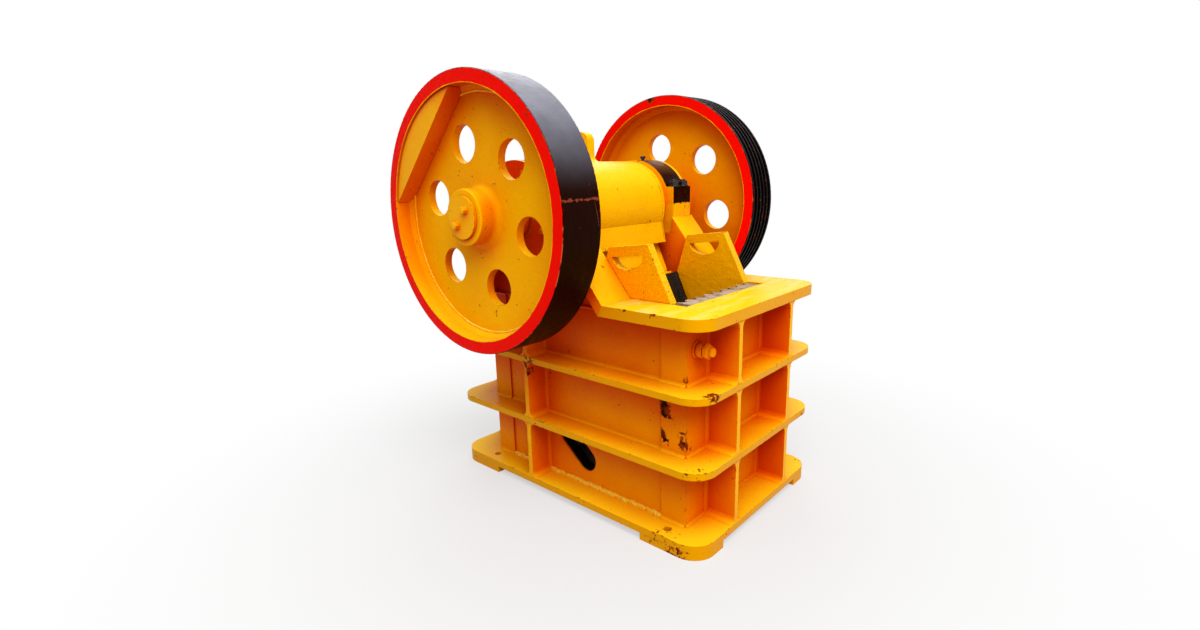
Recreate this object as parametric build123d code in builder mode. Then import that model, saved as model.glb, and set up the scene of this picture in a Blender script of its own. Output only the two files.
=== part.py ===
from build123d import *
import os
from math import atan2, cos, degrees, hypot, radians, sin, tan

os.makedirs("parts", exist_ok=True)

# A single-toggle jaw crusher with a 400 by 250 mm feed opening, in millimetres.
# The origin is at the middle of the foundation bolts on the underside of the feet.
# The feed end faces -Y, the shaft lies along X, the flywheel is at -X and the belt pulley at +X.

# Foundation bolts
bolt_spacing_y = 796.0
bolt_hole_radius = 12.0
side_bolt_inset = 40.0
front_bolt_inset = 139.0
rear_bolt_inset = 165.0

# Crushing chamber
feed_width = 400.0
feed_gape = 250.0
cheek_thickness = 30.0
fixed_plate_thickness = 55.0
swing_plate_thickness = 53.0
swing_plate_length = 526.0
swing_plate_rise = 21.0
swing_lean = 24.7
tooth_count = 8
tooth_crest = 15.0
tooth_root = 13.0
tooth_depth = 17.0
fixed_plate_length = 492.0
ledge_depth = 44.0
ledge_height = 55.0

# Walls of the frame
side_wall_thickness = 45.0
front_wall_thickness = 35.0
rear_wall_thickness = 30.0
pad_thickness = 6.0
front_pad_length = 88.0
rear_pad_length = 84.0
front_overhang = 105.0
rear_overhang = 134.0
side_overhang = 87.0

# Flanges and stiffening ribs, heights above the floor
foot_height = 23.0
foot_width = 126.0
foot_length = 214.0
base_flange_thickness = 23.0
lower_rib_top = 270.0
lower_rib_thickness = 21.0
upper_rib_top = 488.0
upper_rib_thickness = 20.0
top_plate_top = 707.0
top_plate_thickness = 34.0
rear_plate_overhang = 90.0
flange_corner = 76.0
front_rib_spacing = 322.0
front_rib_thickness = 18.0
side_rib_thickness = 19.0
edge_setback = 2.0

# Shaft and bearings
shaft_behind_feed_opening = 257.0
shaft_above_top_plate = 258.0
shaft_journal_radius = 60.0
wheel_seat_radius = 52.0
eccentric_radius = 80.0
eccentric_throw = 10.0
eccentric_rest_angle = 225.0
eccentric_overhang = 1.0
running_clearance = 0.05
fixing_gap = 0.1
housing_length = 110.0
housing_radius = 165.0
housing_bore = 120.0
housing_half_span = 185.0
housing_block_depth = 105.0
cap_lug_height = 64.0
bearing_width = 70.0
cover_thickness = 15.0
cover_boss_radius = 88.0
cover_boss_height = 6.0
cover_shaft_gap = 4.0
seal_thickness = 19.0
seal_inset = 15.0
seal_ring_gap = 8.0
oil_cup_radius = 9.0
oil_cup_height = 16.0

# Sloping flanges that climb from the top plates to the bearing housings
slope_front_foot = 170.0
slope_rear_inset = 9.0
slope_head_below_split = 46.0

# Wheels
wheel_radius = 415.0
rim_thickness = 40.0
rim_width = 144.0
web_thickness = 26.0
flywheel_web_inset = 69.0
pulley_web_inset = 82.0
rim_cove = 16.0
rim_edge_radius = 3.0
hub_radius = 84.0
hub_cover_gap = 9.0
hub_inner_proud = 40.0
hub_proud = 2.0
hub_root_radius = 20.0
hub_edge_radius = 5.0
web_hole_count = 6
web_hole_radius = 57.0
web_hole_circle = 223.0
web_hole_angle = 13.5
groove_count = 5
groove_pitch = 25.5
groove_top = 19.0
groove_bottom = 10.0
groove_depth = 17.0
counterweight_depth = 83.5
counterweight_inset = 6.0
counterweight_rim_gap = 1.5
end_disc_radius = 64.0
end_disc_thickness = 9.0

# Swing jaw
jaw_side_clearance = 6.0
head_radius = 167.0
end_ring_radius = 150.0
end_ring_thickness = 13.0
jaw_body_depth = 120.0
jaw_foot_below_plate = 14.0
pocket_count = 3
pocket_wall = 28.0
pocket_top = -80.0
pocket_bottom = 395.0
pocket_depth = 75.0
pocket_corner = 18.0
lug_setback = 45.0
lug_radius = 34.5
lug_thickness = 36.0
lug_height = 103.0
lug_root_radius = 25.0
lug_hole_radius = 18.0
guard_thickness = 12.0
guard_top_drop = 60.0
guard_bottom_drop = 134.0
guard_lean = 18.0
guard_root_proud = 2.0
wedge_side_inset = 50.0
wedge_height = 15.0
wedge_front_height = 6.5
wedge_setback = 2.0
boss_above_seat = 45.0
boss_below_seat = 34.0
boss_underside = 45.0
boss_rise = 110.0
boss_root_sink = 20.0

# Toggle plate, its seats and the tension rod
open_pivot_clearance = 5.0
toggle_end_radius = 13.0
toggle_half_thickness = 11.0
toggle_side_inset = 24.0
toggle_seat_down = 480.0
toggle_seat_back = 215.0
toggle_rear_height = 330.0
block_depth = 75.0
block_height = 115.0
block_below_seat = 45.0
shim_stack = 24.0
shim_half_width = 70.0
shim_height = 90.0
screw_spacing = 200.0
screw_radius = 14.0
screw_nut_width = 41.0
screw_nut_height = 18.0
screw_length_outside = 44.0
seat_gap = 0.3
rod_radius = 12.0
rod_pin_radius = 10.0
rod_pin_behind_chamber = 234.0
rod_height = 110.0
rod_eye_wall = 12.0
rod_hole_radius = 20.0
ear_radius = 26.0
ear_inner = 20.0
ear_outer = 38.0
ear_root_setback = 40.0
ear_root_forward = 30.0
ear_root_sink = 5.0
spring_length = 90.0
spring_radius = 36.0
spring_wire_radius = 6.0
spring_wire_sides = 6
spring_turns = 6
spring_seat_radius = 44.0
spring_seat_thickness = 12.0
rod_nut_width = 36.0
rod_nut_height = 20.0

# Openings in the walls and cheeks
side_hole_width = 84.0
side_hole_spacing = 105.0
side_hole_angle = 40.4
side_hole_before_shaft = 152.0
side_hole_below_rib = 78.0
grip_half_width = 61.0
grip_depth = 43.0
grip_along_edge = 81.0
grip_below_edge = 30.5
cheek_front_setback = 85.0
cheek_front_rise = 169.0
cheek_rear_rise = 151.0
cheek_top_length = 150.0
cheek_end_rise = 20.0
cheek_behind_face = 20.0

# Studs on the front wall
stud_beside_rib = 69.0
stud_above_bay_middle = 7.5
stud_radius = 12.0
stud_length = 53.0
stud_nut_width = 36.0
stud_nut_height = 19.0
stud_washer_radius = 24.0
stud_washer_thickness = 12.0

# Planes and lines that the sizes give
chamber_half = feed_width / 2
side_inner = chamber_half + cheek_thickness
side_outer = side_inner + side_wall_thickness
flange_half_width = side_outer + side_overhang
bolt_spacing_x = 2 * (flange_half_width - side_bolt_inset)
flange_front = -bolt_spacing_y / 2 - front_bolt_inset
flange_rear = bolt_spacing_y / 2 + rear_bolt_inset
wall_front = flange_front + front_overhang
wall_rear = flange_rear - rear_overhang
front_inner = wall_front + front_wall_thickness
rear_inner = wall_rear - rear_wall_thickness
fixed_face = front_inner + fixed_plate_thickness
fixed_plate_bottom = top_plate_top - fixed_plate_length
base_top = foot_height + base_flange_thickness
lower_rib_bottom = lower_rib_top - lower_rib_thickness
upper_rib_bottom = upper_rib_top - upper_rib_thickness
wall_top = top_plate_top - top_plate_thickness
stud_x = front_rib_spacing / 2 + stud_beside_rib
stud_z = (upper_rib_top + wall_top) / 2 + stud_above_bay_middle
shaft_y = fixed_face + feed_gape + shaft_behind_feed_opening
shaft_z = top_plate_top + shaft_above_top_plate
side_hole_y = shaft_y - side_hole_before_shaft
side_hole_z = lower_rib_bottom - side_hole_below_rib
head_half_width = chamber_half
eccentric_half_length = head_half_width + end_ring_thickness + eccentric_overhang
seal_radius = housing_radius - seal_inset
cover_bore = shaft_journal_radius + cover_shaft_gap
housing_inner = head_half_width + end_ring_thickness + seal_ring_gap + seal_thickness
housing_outer = housing_inner + housing_length
housing_front = shaft_y - housing_half_span
housing_rear = shaft_y + housing_half_span
housing_block_bottom = shaft_z - housing_block_depth
slope_head = shaft_z - slope_head_below_split
hub_inner_face = housing_outer + cover_thickness + cover_boss_height + hub_cover_gap
rim_inner_face = hub_inner_face + hub_inner_proud
rim_outer_face = rim_inner_face + rim_width
rim_bore = wheel_radius - rim_thickness
flywheel_web_middle = rim_inner_face + flywheel_web_inset
pulley_web_middle = rim_inner_face + pulley_web_inset
hub_outer_face = rim_outer_face + hub_proud
jaw_half_width = chamber_half - jaw_side_clearance
pocket_width = (2 * jaw_half_width - (pocket_count + 1) * pocket_wall) / pocket_count
wedge_half_width = jaw_half_width - wedge_side_inset
toggle_half_width = jaw_half_width - toggle_side_inset
eccentric_y = shaft_y + eccentric_throw * cos(radians(eccentric_rest_angle))
eccentric_z = shaft_z + eccentric_throw * sin(radians(eccentric_rest_angle))
shaft_axis = Axis((0, shaft_y, shaft_z), (1, 0, 0))
shaft_section = Plane(origin=(0, shaft_y, shaft_z), x_dir=(1, 0, 0), z_dir=(0, -1, 0))
both_sides = ((-1, "left"), (1, "right"))


def across(side, inner, outer):
    """Plane across the shaft where a piece between two distances from the middle starts."""
    return Plane.YZ.offset(min(side * inner, side * outer))


# The swing plate's face leans back by the nip angle from a corner above the feed opening
face_top_y = fixed_face + feed_gape + swing_plate_rise * tan(radians(swing_lean))
face_top = (face_top_y, top_plate_top + swing_plate_rise)
down_y = -sin(radians(swing_lean))
down_z = -cos(radians(swing_lean))
back_y = cos(radians(swing_lean))
back_z = -sin(radians(swing_lean))


def jaw_point(down, back):
    """Point of the swing jaw, down along the plate's face and back from it, as (y, z)."""
    return (face_top[0] + down * down_y + back * back_y, face_top[1] + down * down_z + back * back_z)


# The toggle plate runs from the swing jaw's orbit centre up to the block on the rear wall
block_front = rear_inner - shim_stack - block_depth
groove = jaw_point(toggle_seat_down, toggle_seat_back)
toggle_front = (groove[0] + shaft_y - eccentric_y, groove[1] + shaft_z - eccentric_z)
toggle_rear = (block_front, toggle_rear_height)
toggle_run = toggle_rear[0] - toggle_front[0]
toggle_climb = toggle_rear[1] - toggle_front[1]
toggle_length = hypot(toggle_run, toggle_climb)
along = (toggle_run / toggle_length, toggle_climb / toggle_length)
over = (-along[1], along[0])
groove_radius = toggle_end_radius + eccentric_throw + open_pivot_clearance
toggle_angle = degrees(atan2(along[1], along[0]))

# The tension rod's eye loops round a pin on the swing jaw
rod_eye_y = fixed_face + rod_pin_behind_chamber
rod_eye_radius = rod_pin_radius + eccentric_throw + open_pivot_clearance
pin_y = rod_eye_y + eccentric_y - shaft_y
pin_z = rod_height + eccentric_z - shaft_z


def from_groove(forward, up):
    """Point beside the toggle groove, along the toggle plate and across it, as (y, z)."""
    return (groove[0] + forward * along[0] + up * over[0], groove[1] + forward * along[1] + up * over[1])


# Feet under the four corners
with BuildPart() as feet:
    with BuildSketch(Plane.XY):
        for foot_y, towards in ((flange_front, 1), (flange_rear, -1)):
            with Locations((0, foot_y + towards * foot_length / 2)):
                Rectangle(2 * flange_half_width, foot_length)
        between_feet = 2 * (flange_half_width - foot_width)
        Rectangle(between_feet, flange_rear - flange_front + foot_length, mode=Mode.SUBTRACT)
        with Locations((0, (flange_front + flange_rear) / 2)):
            RectangleRounded(
                2 * flange_half_width, flange_rear - flange_front, flange_corner, mode=Mode.INTERSECT
            )
        with GridLocations(bolt_spacing_x, bolt_spacing_y, 2, 2):
            Circle(bolt_hole_radius, mode=Mode.SUBTRACT)
    extrude(amount=foot_height)
feet.part.label = "feet"
export_step(feet.part, "parts/feet.step")


# Flanges that run right round the walls
def ring_outline():
    """Outline of a flange, less the walls and the raised pads at their corners."""
    with Locations((0, (flange_front + flange_rear) / 2)):
        RectangleRounded(2 * flange_half_width, flange_rear - flange_front, flange_corner)
    with Locations((0, (wall_front + wall_rear) / 2)):
        Rectangle(2 * side_outer, wall_rear - wall_front, mode=Mode.SUBTRACT)
    with Locations((0, wall_front + front_pad_length / 2)):
        Rectangle(2 * (side_outer + pad_thickness), front_pad_length, mode=Mode.SUBTRACT)
    with Locations((0, wall_rear - rear_pad_length / 2)):
        Rectangle(2 * (side_outer + pad_thickness), rear_pad_length, mode=Mode.SUBTRACT)


with BuildPart() as base_flange:
    with BuildSketch(Plane.XY.offset(foot_height)):
        ring_outline()
        with GridLocations(bolt_spacing_x, bolt_spacing_y, 2, 2):
            Circle(bolt_hole_radius, mode=Mode.SUBTRACT)
    extrude(amount=base_flange_thickness)
base_flange.part.label = "base_flange"
export_step(base_flange.part, "parts/base_flange.step")

with BuildPart() as lower_rib:
    with BuildSketch(Plane.XY.offset(lower_rib_bottom)):
        ring_outline()
    extrude(amount=lower_rib_thickness)
lower_rib.part.label = "lower_rib"
export_step(lower_rib.part, "parts/lower_rib.step")

with BuildPart() as upper_rib:
    with BuildSketch(Plane.XY.offset(upper_rib_bottom)):
        ring_outline()
    extrude(amount=upper_rib_thickness)
upper_rib.part.label = "upper_rib"
export_step(upper_rib.part, "parts/upper_rib.step")

# The sloping flanges are mitred where they leave the top plates
slope_rise = slope_head - top_plate_top
slope_front_y = housing_front - slope_front_foot
slope_rear_y = wall_rear - slope_rear_inset
front_slope = atan2(slope_rise, slope_front_foot)
rear_slope = atan2(slope_rise, slope_rear_y - housing_rear)
front_mitre_y = slope_front_y + top_plate_thickness * tan(front_slope / 2)
rear_mitre_y = slope_rear_y - top_plate_thickness * tan(rear_slope / 2)
front_slope_under = slope_head - top_plate_thickness / cos(front_slope)
rear_slope_under = slope_head - top_plate_thickness / cos(rear_slope)

# Top plate round the feed opening
with BuildPart() as top_plate:
    with BuildSketch(Plane.XY.offset(wall_top)) as top_plate_outline:
        with Locations((0, (flange_front + front_mitre_y) / 2)):
            Rectangle(2 * flange_half_width, front_mitre_y - flange_front)
        fillet(top_plate_outline.vertices().group_by(Axis.Y)[0], flange_corner)
        with Locations((0, front_inner + (front_mitre_y - front_inner) / 2)):
            Rectangle(2 * side_inner, front_mitre_y - front_inner, mode=Mode.SUBTRACT)
    extrude(amount=top_plate_thickness)
    with BuildSketch(Plane.YZ.offset(-flange_half_width)):
        with BuildLine():
            Polyline(
                (slope_front_y, top_plate_top),
                (front_mitre_y, wall_top),
                (front_mitre_y, top_plate_top),
                close=True,
            )
        make_face()
    extrude(amount=2 * flange_half_width, mode=Mode.SUBTRACT)
top_plate.part.label = "top_plate"
export_step(top_plate.part, "parts/top_plate.step")

# Top plate over the rear wall
with BuildPart() as rear_top_plate:
    with BuildSketch(Plane.XY.offset(wall_top)) as rear_plate_outline:
        rear_edge = wall_rear + rear_plate_overhang
        with Locations((0, (rear_edge + rear_mitre_y) / 2)):
            Rectangle(2 * flange_half_width, rear_edge - rear_mitre_y)
        fillet(rear_plate_outline.vertices().group_by(Axis.Y)[-1], flange_corner)
        with Locations((0, (rear_inner + rear_mitre_y) / 2)):
            Rectangle(2 * side_inner, rear_inner - rear_mitre_y, mode=Mode.SUBTRACT)
    extrude(amount=top_plate_thickness)
    with BuildSketch(Plane.YZ.offset(-flange_half_width)):
        with BuildLine():
            Polyline(
                (slope_rear_y, top_plate_top),
                (rear_mitre_y, wall_top),
                (rear_mitre_y, top_plate_top),
                close=True,
            )
        make_face()
    extrude(amount=2 * flange_half_width, mode=Mode.SUBTRACT)
rear_top_plate.part.label = "rear_top_plate"
export_step(rear_top_plate.part, "parts/rear_top_plate.step")

# Sloping flanges in front of the bearing housings
for side, hand in both_sides:
    with BuildPart() as slope_flange:
        with BuildSketch(across(side, side_inner, flange_half_width)):
            with BuildLine():
                Polyline(
                    (slope_front_y, top_plate_top),
                    (housing_front, slope_head),
                    (housing_front, front_slope_under),
                    (front_mitre_y, wall_top),
                    close=True,
                )
            make_face()
        extrude(amount=flange_half_width - side_inner)
    slope_flange.part.label = f"slope_flange_{hand}"
    export_step(slope_flange.part, f"parts/slope_flange_{hand}.step")

# Sloping flanges behind the bearing housings
with BuildPart() as rear_slope_flanges:
    for side, hand in both_sides:
        with BuildSketch(across(side, side_inner, flange_half_width)):
            with BuildLine():
                Polyline(
                    (slope_rear_y, top_plate_top),
                    (housing_rear, slope_head),
                    (housing_rear, rear_slope_under),
                    (rear_mitre_y, wall_top),
                    close=True,
                )
            make_face()
        extrude(amount=flange_half_width - side_inner)
rear_slope_flanges.part.label = "rear_slope_flanges"
export_step(rear_slope_flanges.part, "parts/rear_slope_flanges.step")

# Side walls, cut out for the bearing housings and the oblique side hole
for side, hand in both_sides:
    with BuildPart() as side_wall:
        with BuildSketch(across(side, side_inner, side_outer)):
            with BuildLine():
                Polyline(
                    (front_inner, foot_height),
                    (rear_inner, foot_height),
                    (rear_inner, wall_top),
                    (rear_mitre_y, wall_top),
                    (housing_rear, rear_slope_under),
                    (housing_rear, housing_block_bottom),
                    (housing_front, housing_block_bottom),
                    (housing_front, front_slope_under),
                    (front_mitre_y, wall_top),
                    (front_inner, wall_top),
                    close=True,
                )
            make_face()
            with Locations((shaft_y, shaft_z)):
                Circle(housing_radius + seat_gap, mode=Mode.SUBTRACT)
            with Locations((side_hole_y, side_hole_z)):
                SlotCenterToCenter(
                    side_hole_spacing, side_hole_width, rotation=side_hole_angle, mode=Mode.SUBTRACT
                )
        extrude(amount=side_wall_thickness)
        with BuildSketch(across(side, side_outer, side_outer + pad_thickness)):
            pad_middle = (foot_height + wall_top) / 2
            with Locations((wall_front + front_pad_length / 2, pad_middle)):
                Rectangle(front_pad_length, wall_top - foot_height)
            with Locations((wall_rear - rear_pad_length / 2, pad_middle)):
                Rectangle(rear_pad_length, wall_top - foot_height)
        extrude(amount=pad_thickness)
    side_wall.part.label = f"side_wall_{hand}"
    export_step(side_wall.part, f"parts/side_wall_{hand}.step")

# Front wall with the ledge that carries the fixed jaw plate
with BuildPart() as front_wall:
    with BuildSketch(Plane.XY.offset(foot_height)):
        with Locations((0, (wall_front + front_inner) / 2)):
            Rectangle(2 * side_outer, front_wall_thickness)
    extrude(amount=wall_top - foot_height)
    with BuildSketch(Plane.YZ.offset(-side_inner)):
        with BuildLine():
            Polyline(
                (front_inner, fixed_plate_bottom),
                (front_inner + ledge_depth, fixed_plate_bottom),
                (front_inner, fixed_plate_bottom - ledge_height),
                close=True,
            )
        make_face()
    extrude(amount=2 * side_inner)
front_wall.part.label = "front_wall"
export_step(front_wall.part, "parts/front_wall.step")

# Rear wall with the holes for the tension rod and the adjusting screws
screw_z = toggle_rear_height + block_height / 2 - block_below_seat
with BuildPart() as rear_wall:
    with BuildSketch(Plane.XZ.offset(-wall_rear)):
        with Locations((0, (foot_height + wall_top) / 2)):
            Rectangle(2 * side_outer, wall_top - foot_height)
        with Locations((0, rod_height)):
            Circle(rod_hole_radius, mode=Mode.SUBTRACT)
        with Locations((-screw_spacing / 2, screw_z), (screw_spacing / 2, screw_z)):
            Circle(screw_radius + seat_gap, mode=Mode.SUBTRACT)
    extrude(amount=rear_wall_thickness)
rear_wall.part.label = "rear_wall"
export_step(rear_wall.part, "parts/rear_wall.step")

# Upright ribs between the flanges, in front, behind and under the shaft
tiers = ((base_top, lower_rib_bottom), (lower_rib_top, upper_rib_bottom), (upper_rib_top, wall_top))
with BuildPart() as front_ribs:
    for low, high in tiers:
        with BuildSketch(Plane.XY.offset(low)):
            rib_front = flange_front + edge_setback
            with Locations((0, (rib_front + wall_front) / 2)):
                with GridLocations(front_rib_spacing, 1, 2, 1):
                    Rectangle(front_rib_thickness, wall_front - rib_front)
        extrude(amount=high - low)
front_ribs.part.label = "front_ribs"
export_step(front_ribs.part, "parts/front_ribs.step")

with BuildPart() as rear_ribs:
    for low, high in tiers:
        with BuildSketch(Plane.XY.offset(low)):
            flange_edge = flange_rear if high < wall_top else wall_rear + rear_plate_overhang
            rib_rear = flange_edge - edge_setback
            with Locations((0, (rib_rear + wall_rear) / 2)):
                with GridLocations(front_rib_spacing, 1, 2, 1):
                    Rectangle(front_rib_thickness, rib_rear - wall_rear)
        extrude(amount=high - low)
rear_ribs.part.label = "rear_ribs"
export_step(rear_ribs.part, "parts/rear_ribs.step")

with BuildPart() as side_ribs:
    for low, high in (tiers[0], tiers[1], (upper_rib_top, shaft_z - housing_radius - seat_gap)):
        with BuildSketch(Plane.XY.offset(low)):
            rib_outer = flange_half_width - edge_setback
            with Locations((0, shaft_y)):
                with GridLocations(side_outer + rib_outer, 1, 2, 1):
                    Rectangle(rib_outer - side_outer, side_rib_thickness)
        extrude(amount=high - low)
side_ribs.part.label = "side_ribs"
export_step(side_ribs.part, "parts/side_ribs.step")

# Bearing housings: the lower half is set into the side wall, the cap is bolted on it
for side, hand in both_sides:
    with BuildPart() as bearing_seat:
        with BuildSketch(across(side, housing_inner, housing_outer)):
            with Locations((shaft_y, (housing_block_bottom + shaft_z) / 2)):
                Rectangle(2 * housing_half_span, shaft_z - housing_block_bottom)
            with Locations((shaft_y, shaft_z)):
                Circle(housing_radius)
            with Locations((shaft_y, shaft_z + housing_radius)):
                Rectangle(4 * housing_radius, 2 * housing_radius, mode=Mode.SUBTRACT)
            with Locations((shaft_y, shaft_z)):
                Circle(housing_bore, mode=Mode.SUBTRACT)
        extrude(amount=housing_length)
    bearing_seat.part.label = f"bearing_seat_{hand}"
    export_step(bearing_seat.part, f"parts/bearing_seat_{hand}.step")

    with BuildPart() as bearing_cap:
        with BuildSketch(across(side, housing_inner, housing_outer)):
            with Locations((shaft_y, shaft_z + cap_lug_height / 2)):
                Rectangle(2 * housing_half_span, cap_lug_height)
            with Locations((shaft_y, shaft_z)):
                Circle(housing_radius)
            with Locations((shaft_y, shaft_z - housing_radius)):
                Rectangle(4 * housing_radius, 2 * housing_radius, mode=Mode.SUBTRACT)
            with Locations((shaft_y, shaft_z)):
                Circle(housing_bore, mode=Mode.SUBTRACT)
        extrude(amount=housing_length)
    bearing_cap.part.label = f"bearing_cap_{hand}"
    export_step(bearing_cap.part, f"parts/bearing_cap_{hand}.step")

# Roller bearings inside the housings
bearing_inner_side = housing_inner + (housing_length - bearing_width) / 2
with BuildPart() as main_bearings:
    for side, hand in both_sides:
        with BuildSketch(across(side, bearing_inner_side, bearing_inner_side + bearing_width)):
            with Locations((shaft_y, shaft_z)):
                Circle(housing_bore - seat_gap)
                Circle(shaft_journal_radius + running_clearance, mode=Mode.SUBTRACT)
        extrude(amount=bearing_width)
main_bearings.part.label = "main_bearings"
export_step(main_bearings.part, "parts/main_bearings.step")

# Outer covers of the housings with a raised boss round the shaft
with BuildPart() as bearing_covers:
    for side, hand in both_sides:
        with BuildSketch(across(side, housing_outer, housing_outer + cover_thickness)):
            with Locations((shaft_y, shaft_z)):
                Circle(housing_radius)
                Circle(cover_bore, mode=Mode.SUBTRACT)
        extrude(amount=cover_thickness)
        boss_foot = housing_outer + cover_thickness
        with BuildSketch(across(side, boss_foot, boss_foot + cover_boss_height)):
            with Locations((shaft_y, shaft_z)):
                Circle(cover_boss_radius)
                Circle(cover_bore, mode=Mode.SUBTRACT)
        extrude(amount=cover_boss_height)
bearing_covers.part.label = "bearing_covers"
export_step(bearing_covers.part, "parts/bearing_covers.step")

# Seal rings on the inner ends of the housings
with BuildPart() as inner_seals:
    for side, hand in both_sides:
        with BuildSketch(across(side, housing_inner - seal_thickness, housing_inner)):
            with Locations((shaft_y, shaft_z)):
                Circle(seal_radius)
                Circle(cover_bore, mode=Mode.SUBTRACT)
        extrude(amount=seal_thickness)
inner_seals.part.label = "inner_seals"
export_step(inner_seals.part, "parts/inner_seals.step")

# Oil cups on the crest of the caps
with BuildPart() as oil_cups:
    with BuildSketch(Plane.XY.offset(shaft_z + housing_radius)):
        with Locations((0, shaft_y)):
            with GridLocations(housing_inner + housing_outer, 1, 2, 1):
                Circle(oil_cup_radius)
    extrude(amount=oil_cup_height)
oil_cups.part.label = "oil_cups"
export_step(oil_cups.part, "parts/oil_cups.step")


# Toothed face of a jaw plate, from one side to the other, crests at zero
def tooth_line(half_width, crest_first):
    """Points of the toothed edge across a plate of this half width."""
    pitch = 2 * half_width / tooth_count
    flank = (pitch - tooth_crest - tooth_root) / 2
    first, second = (tooth_crest, tooth_root) if crest_first else (tooth_root, tooth_crest)
    first_depth, second_depth = (0, -tooth_depth) if crest_first else (-tooth_depth, 0)
    points = [(-half_width, first_depth)]
    for tooth in range(tooth_count):
        start = -half_width + tooth * pitch
        points.append((start + first / 2, first_depth))
        points.append((start + first / 2 + flank, second_depth))
        points.append((start + first / 2 + flank + second, second_depth))
        points.append((start + pitch - first / 2, first_depth))
    points.append((half_width, first_depth))
    return points


with BuildPart() as fixed_jaw_plate:
    fixed_half_width = chamber_half - seat_gap
    with BuildSketch(Plane(origin=(0, fixed_face, fixed_plate_bottom), x_dir=(1, 0, 0), z_dir=(0, 0, 1))):
        with BuildLine():
            outline = tooth_line(fixed_half_width, True)
            outline.append((fixed_half_width, -fixed_plate_thickness))
            outline.append((-fixed_half_width, -fixed_plate_thickness))
            Polyline(*outline, close=True)
        make_face()
    extrude(amount=top_plate_top - fixed_plate_bottom)
fixed_jaw_plate.part.label = "fixed_jaw_plate"
export_step(fixed_jaw_plate.part, "parts/fixed_jaw_plate.step")

# Cheek plates that line the side walls and stand up beside the feed opening
cheek_bottom = fixed_plate_bottom + cheek_end_rise
chute_rear = face_top[0] + cheek_behind_face * back_y
chute_rear_z = face_top[1] + cheek_behind_face * back_z
cheek_drop = (chute_rear_z - cheek_bottom) * tan(radians(swing_lean))
cheek_front = (fixed_face + cheek_front_setback, top_plate_top + cheek_front_rise)
cheek_rear = (cheek_front[0] + cheek_top_length, top_plate_top + cheek_rear_rise)
cheek_slant = atan2(cheek_rear[1] - cheek_front[1], cheek_top_length)
grip_y = cheek_front[0] + grip_along_edge * cos(cheek_slant) + grip_below_edge * sin(cheek_slant)
grip_z = cheek_front[1] + grip_along_edge * sin(cheek_slant) - grip_below_edge * cos(cheek_slant)
for side, hand in both_sides:
    with BuildPart() as cheek_plate:
        with BuildSketch(across(side, chamber_half, side_inner)):
            with BuildLine():
                Polyline(
                    (fixed_face + seat_gap, cheek_bottom),
                    (fixed_face + seat_gap, top_plate_top),
                    cheek_front,
                    cheek_rear,
                    (chute_rear, chute_rear_z),
                    (chute_rear - cheek_drop, cheek_bottom),
                    close=True,
                )
            make_face()
            with BuildLine():
                grip_arc = EllipticalCenterArc(
                    (grip_y, grip_z),
                    grip_half_width,
                    grip_depth,
                    start_angle=180,
                    arc_size=180,
                    rotation=degrees(cheek_slant),
                )
                Line(grip_arc @ 1, grip_arc @ 0)
            make_face(mode=Mode.SUBTRACT)
        extrude(amount=cheek_thickness)
    cheek_plate.part.label = f"cheek_plate_{hand}"
    export_step(cheek_plate.part, f"parts/cheek_plate_{hand}.step")

# Studs with washer and nut on the front wall
with BuildPart() as front_studs:
    stud_places = ((-stud_x, stud_z), (stud_x, stud_z))
    with BuildSketch(Plane.XZ.offset(-wall_front)):
        with Locations(*stud_places):
            Circle(stud_radius)
    extrude(amount=stud_length)
    with BuildSketch(Plane.XZ.offset(-wall_front)):
        with Locations(*stud_places):
            Circle(stud_washer_radius)
    extrude(amount=stud_washer_thickness)
    with BuildSketch(Plane.XZ.offset(-wall_front + stud_washer_thickness)):
        with Locations(*stud_places):
            RegularPolygon(stud_nut_width / 2, 6, major_radius=False)
    extrude(amount=stud_nut_height)
front_studs.part.label = "front_studs"
export_step(front_studs.part, "parts/front_studs.step")

# Eccentric shaft: wheel seats, journals and the eccentric that carries the swing jaw
with BuildPart() as eccentric_shaft:
    with BuildSketch(shaft_section):
        with BuildLine():
            Polyline(
                (-rim_outer_face, 0),
                (-rim_outer_face, wheel_seat_radius),
                (-hub_inner_face, wheel_seat_radius),
                (-hub_inner_face, shaft_journal_radius),
                (hub_inner_face, shaft_journal_radius),
                (hub_inner_face, wheel_seat_radius),
                (rim_outer_face, wheel_seat_radius),
                (rim_outer_face, 0),
                close=True,
            )
        make_face()
    revolve(axis=shaft_axis)
    with BuildSketch(Plane.YZ.offset(-eccentric_half_length)):
        with Locations((eccentric_y, eccentric_z)):
            Circle(eccentric_radius)
    extrude(amount=2 * eccentric_half_length)
eccentric_shaft.part.label = "eccentric_shaft"
export_step(eccentric_shaft.part, "parts/eccentric_shaft.step")


def wheel_section(side, web_middle):
    """Outline of half a wheel's section, with its corners rounded and a cove between the web and the rim."""
    web_inner = web_middle - web_thickness / 2
    web_outer = web_middle + web_thickness / 2
    bore = wheel_seat_radius + fixing_gap
    corners = [
        (hub_inner_face, bore, 0),
        (hub_inner_face, hub_radius, hub_edge_radius),
        (web_inner, hub_radius, hub_root_radius),
        (web_inner, rim_bore - rim_cove, 0),
        (web_inner - rim_cove, rim_bore, 0),
        (rim_inner_face, rim_bore, 0),
        (rim_inner_face, wheel_radius, rim_edge_radius),
        (rim_outer_face, wheel_radius, rim_edge_radius),
        (rim_outer_face, rim_bore, 0),
        (web_outer + rim_cove, rim_bore, 0),
        (web_outer, rim_bore - rim_cove, 0),
        (web_outer, hub_radius, hub_root_radius),
        (hub_outer_face, hub_radius, hub_edge_radius),
        (hub_outer_face, bore, 0),
    ]
    points = [(side * along_shaft, outward) for along_shaft, outward, radius in corners]
    FilletPolyline(*points, radius=[radius for along_shaft, outward, radius in corners], close=True)


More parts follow.
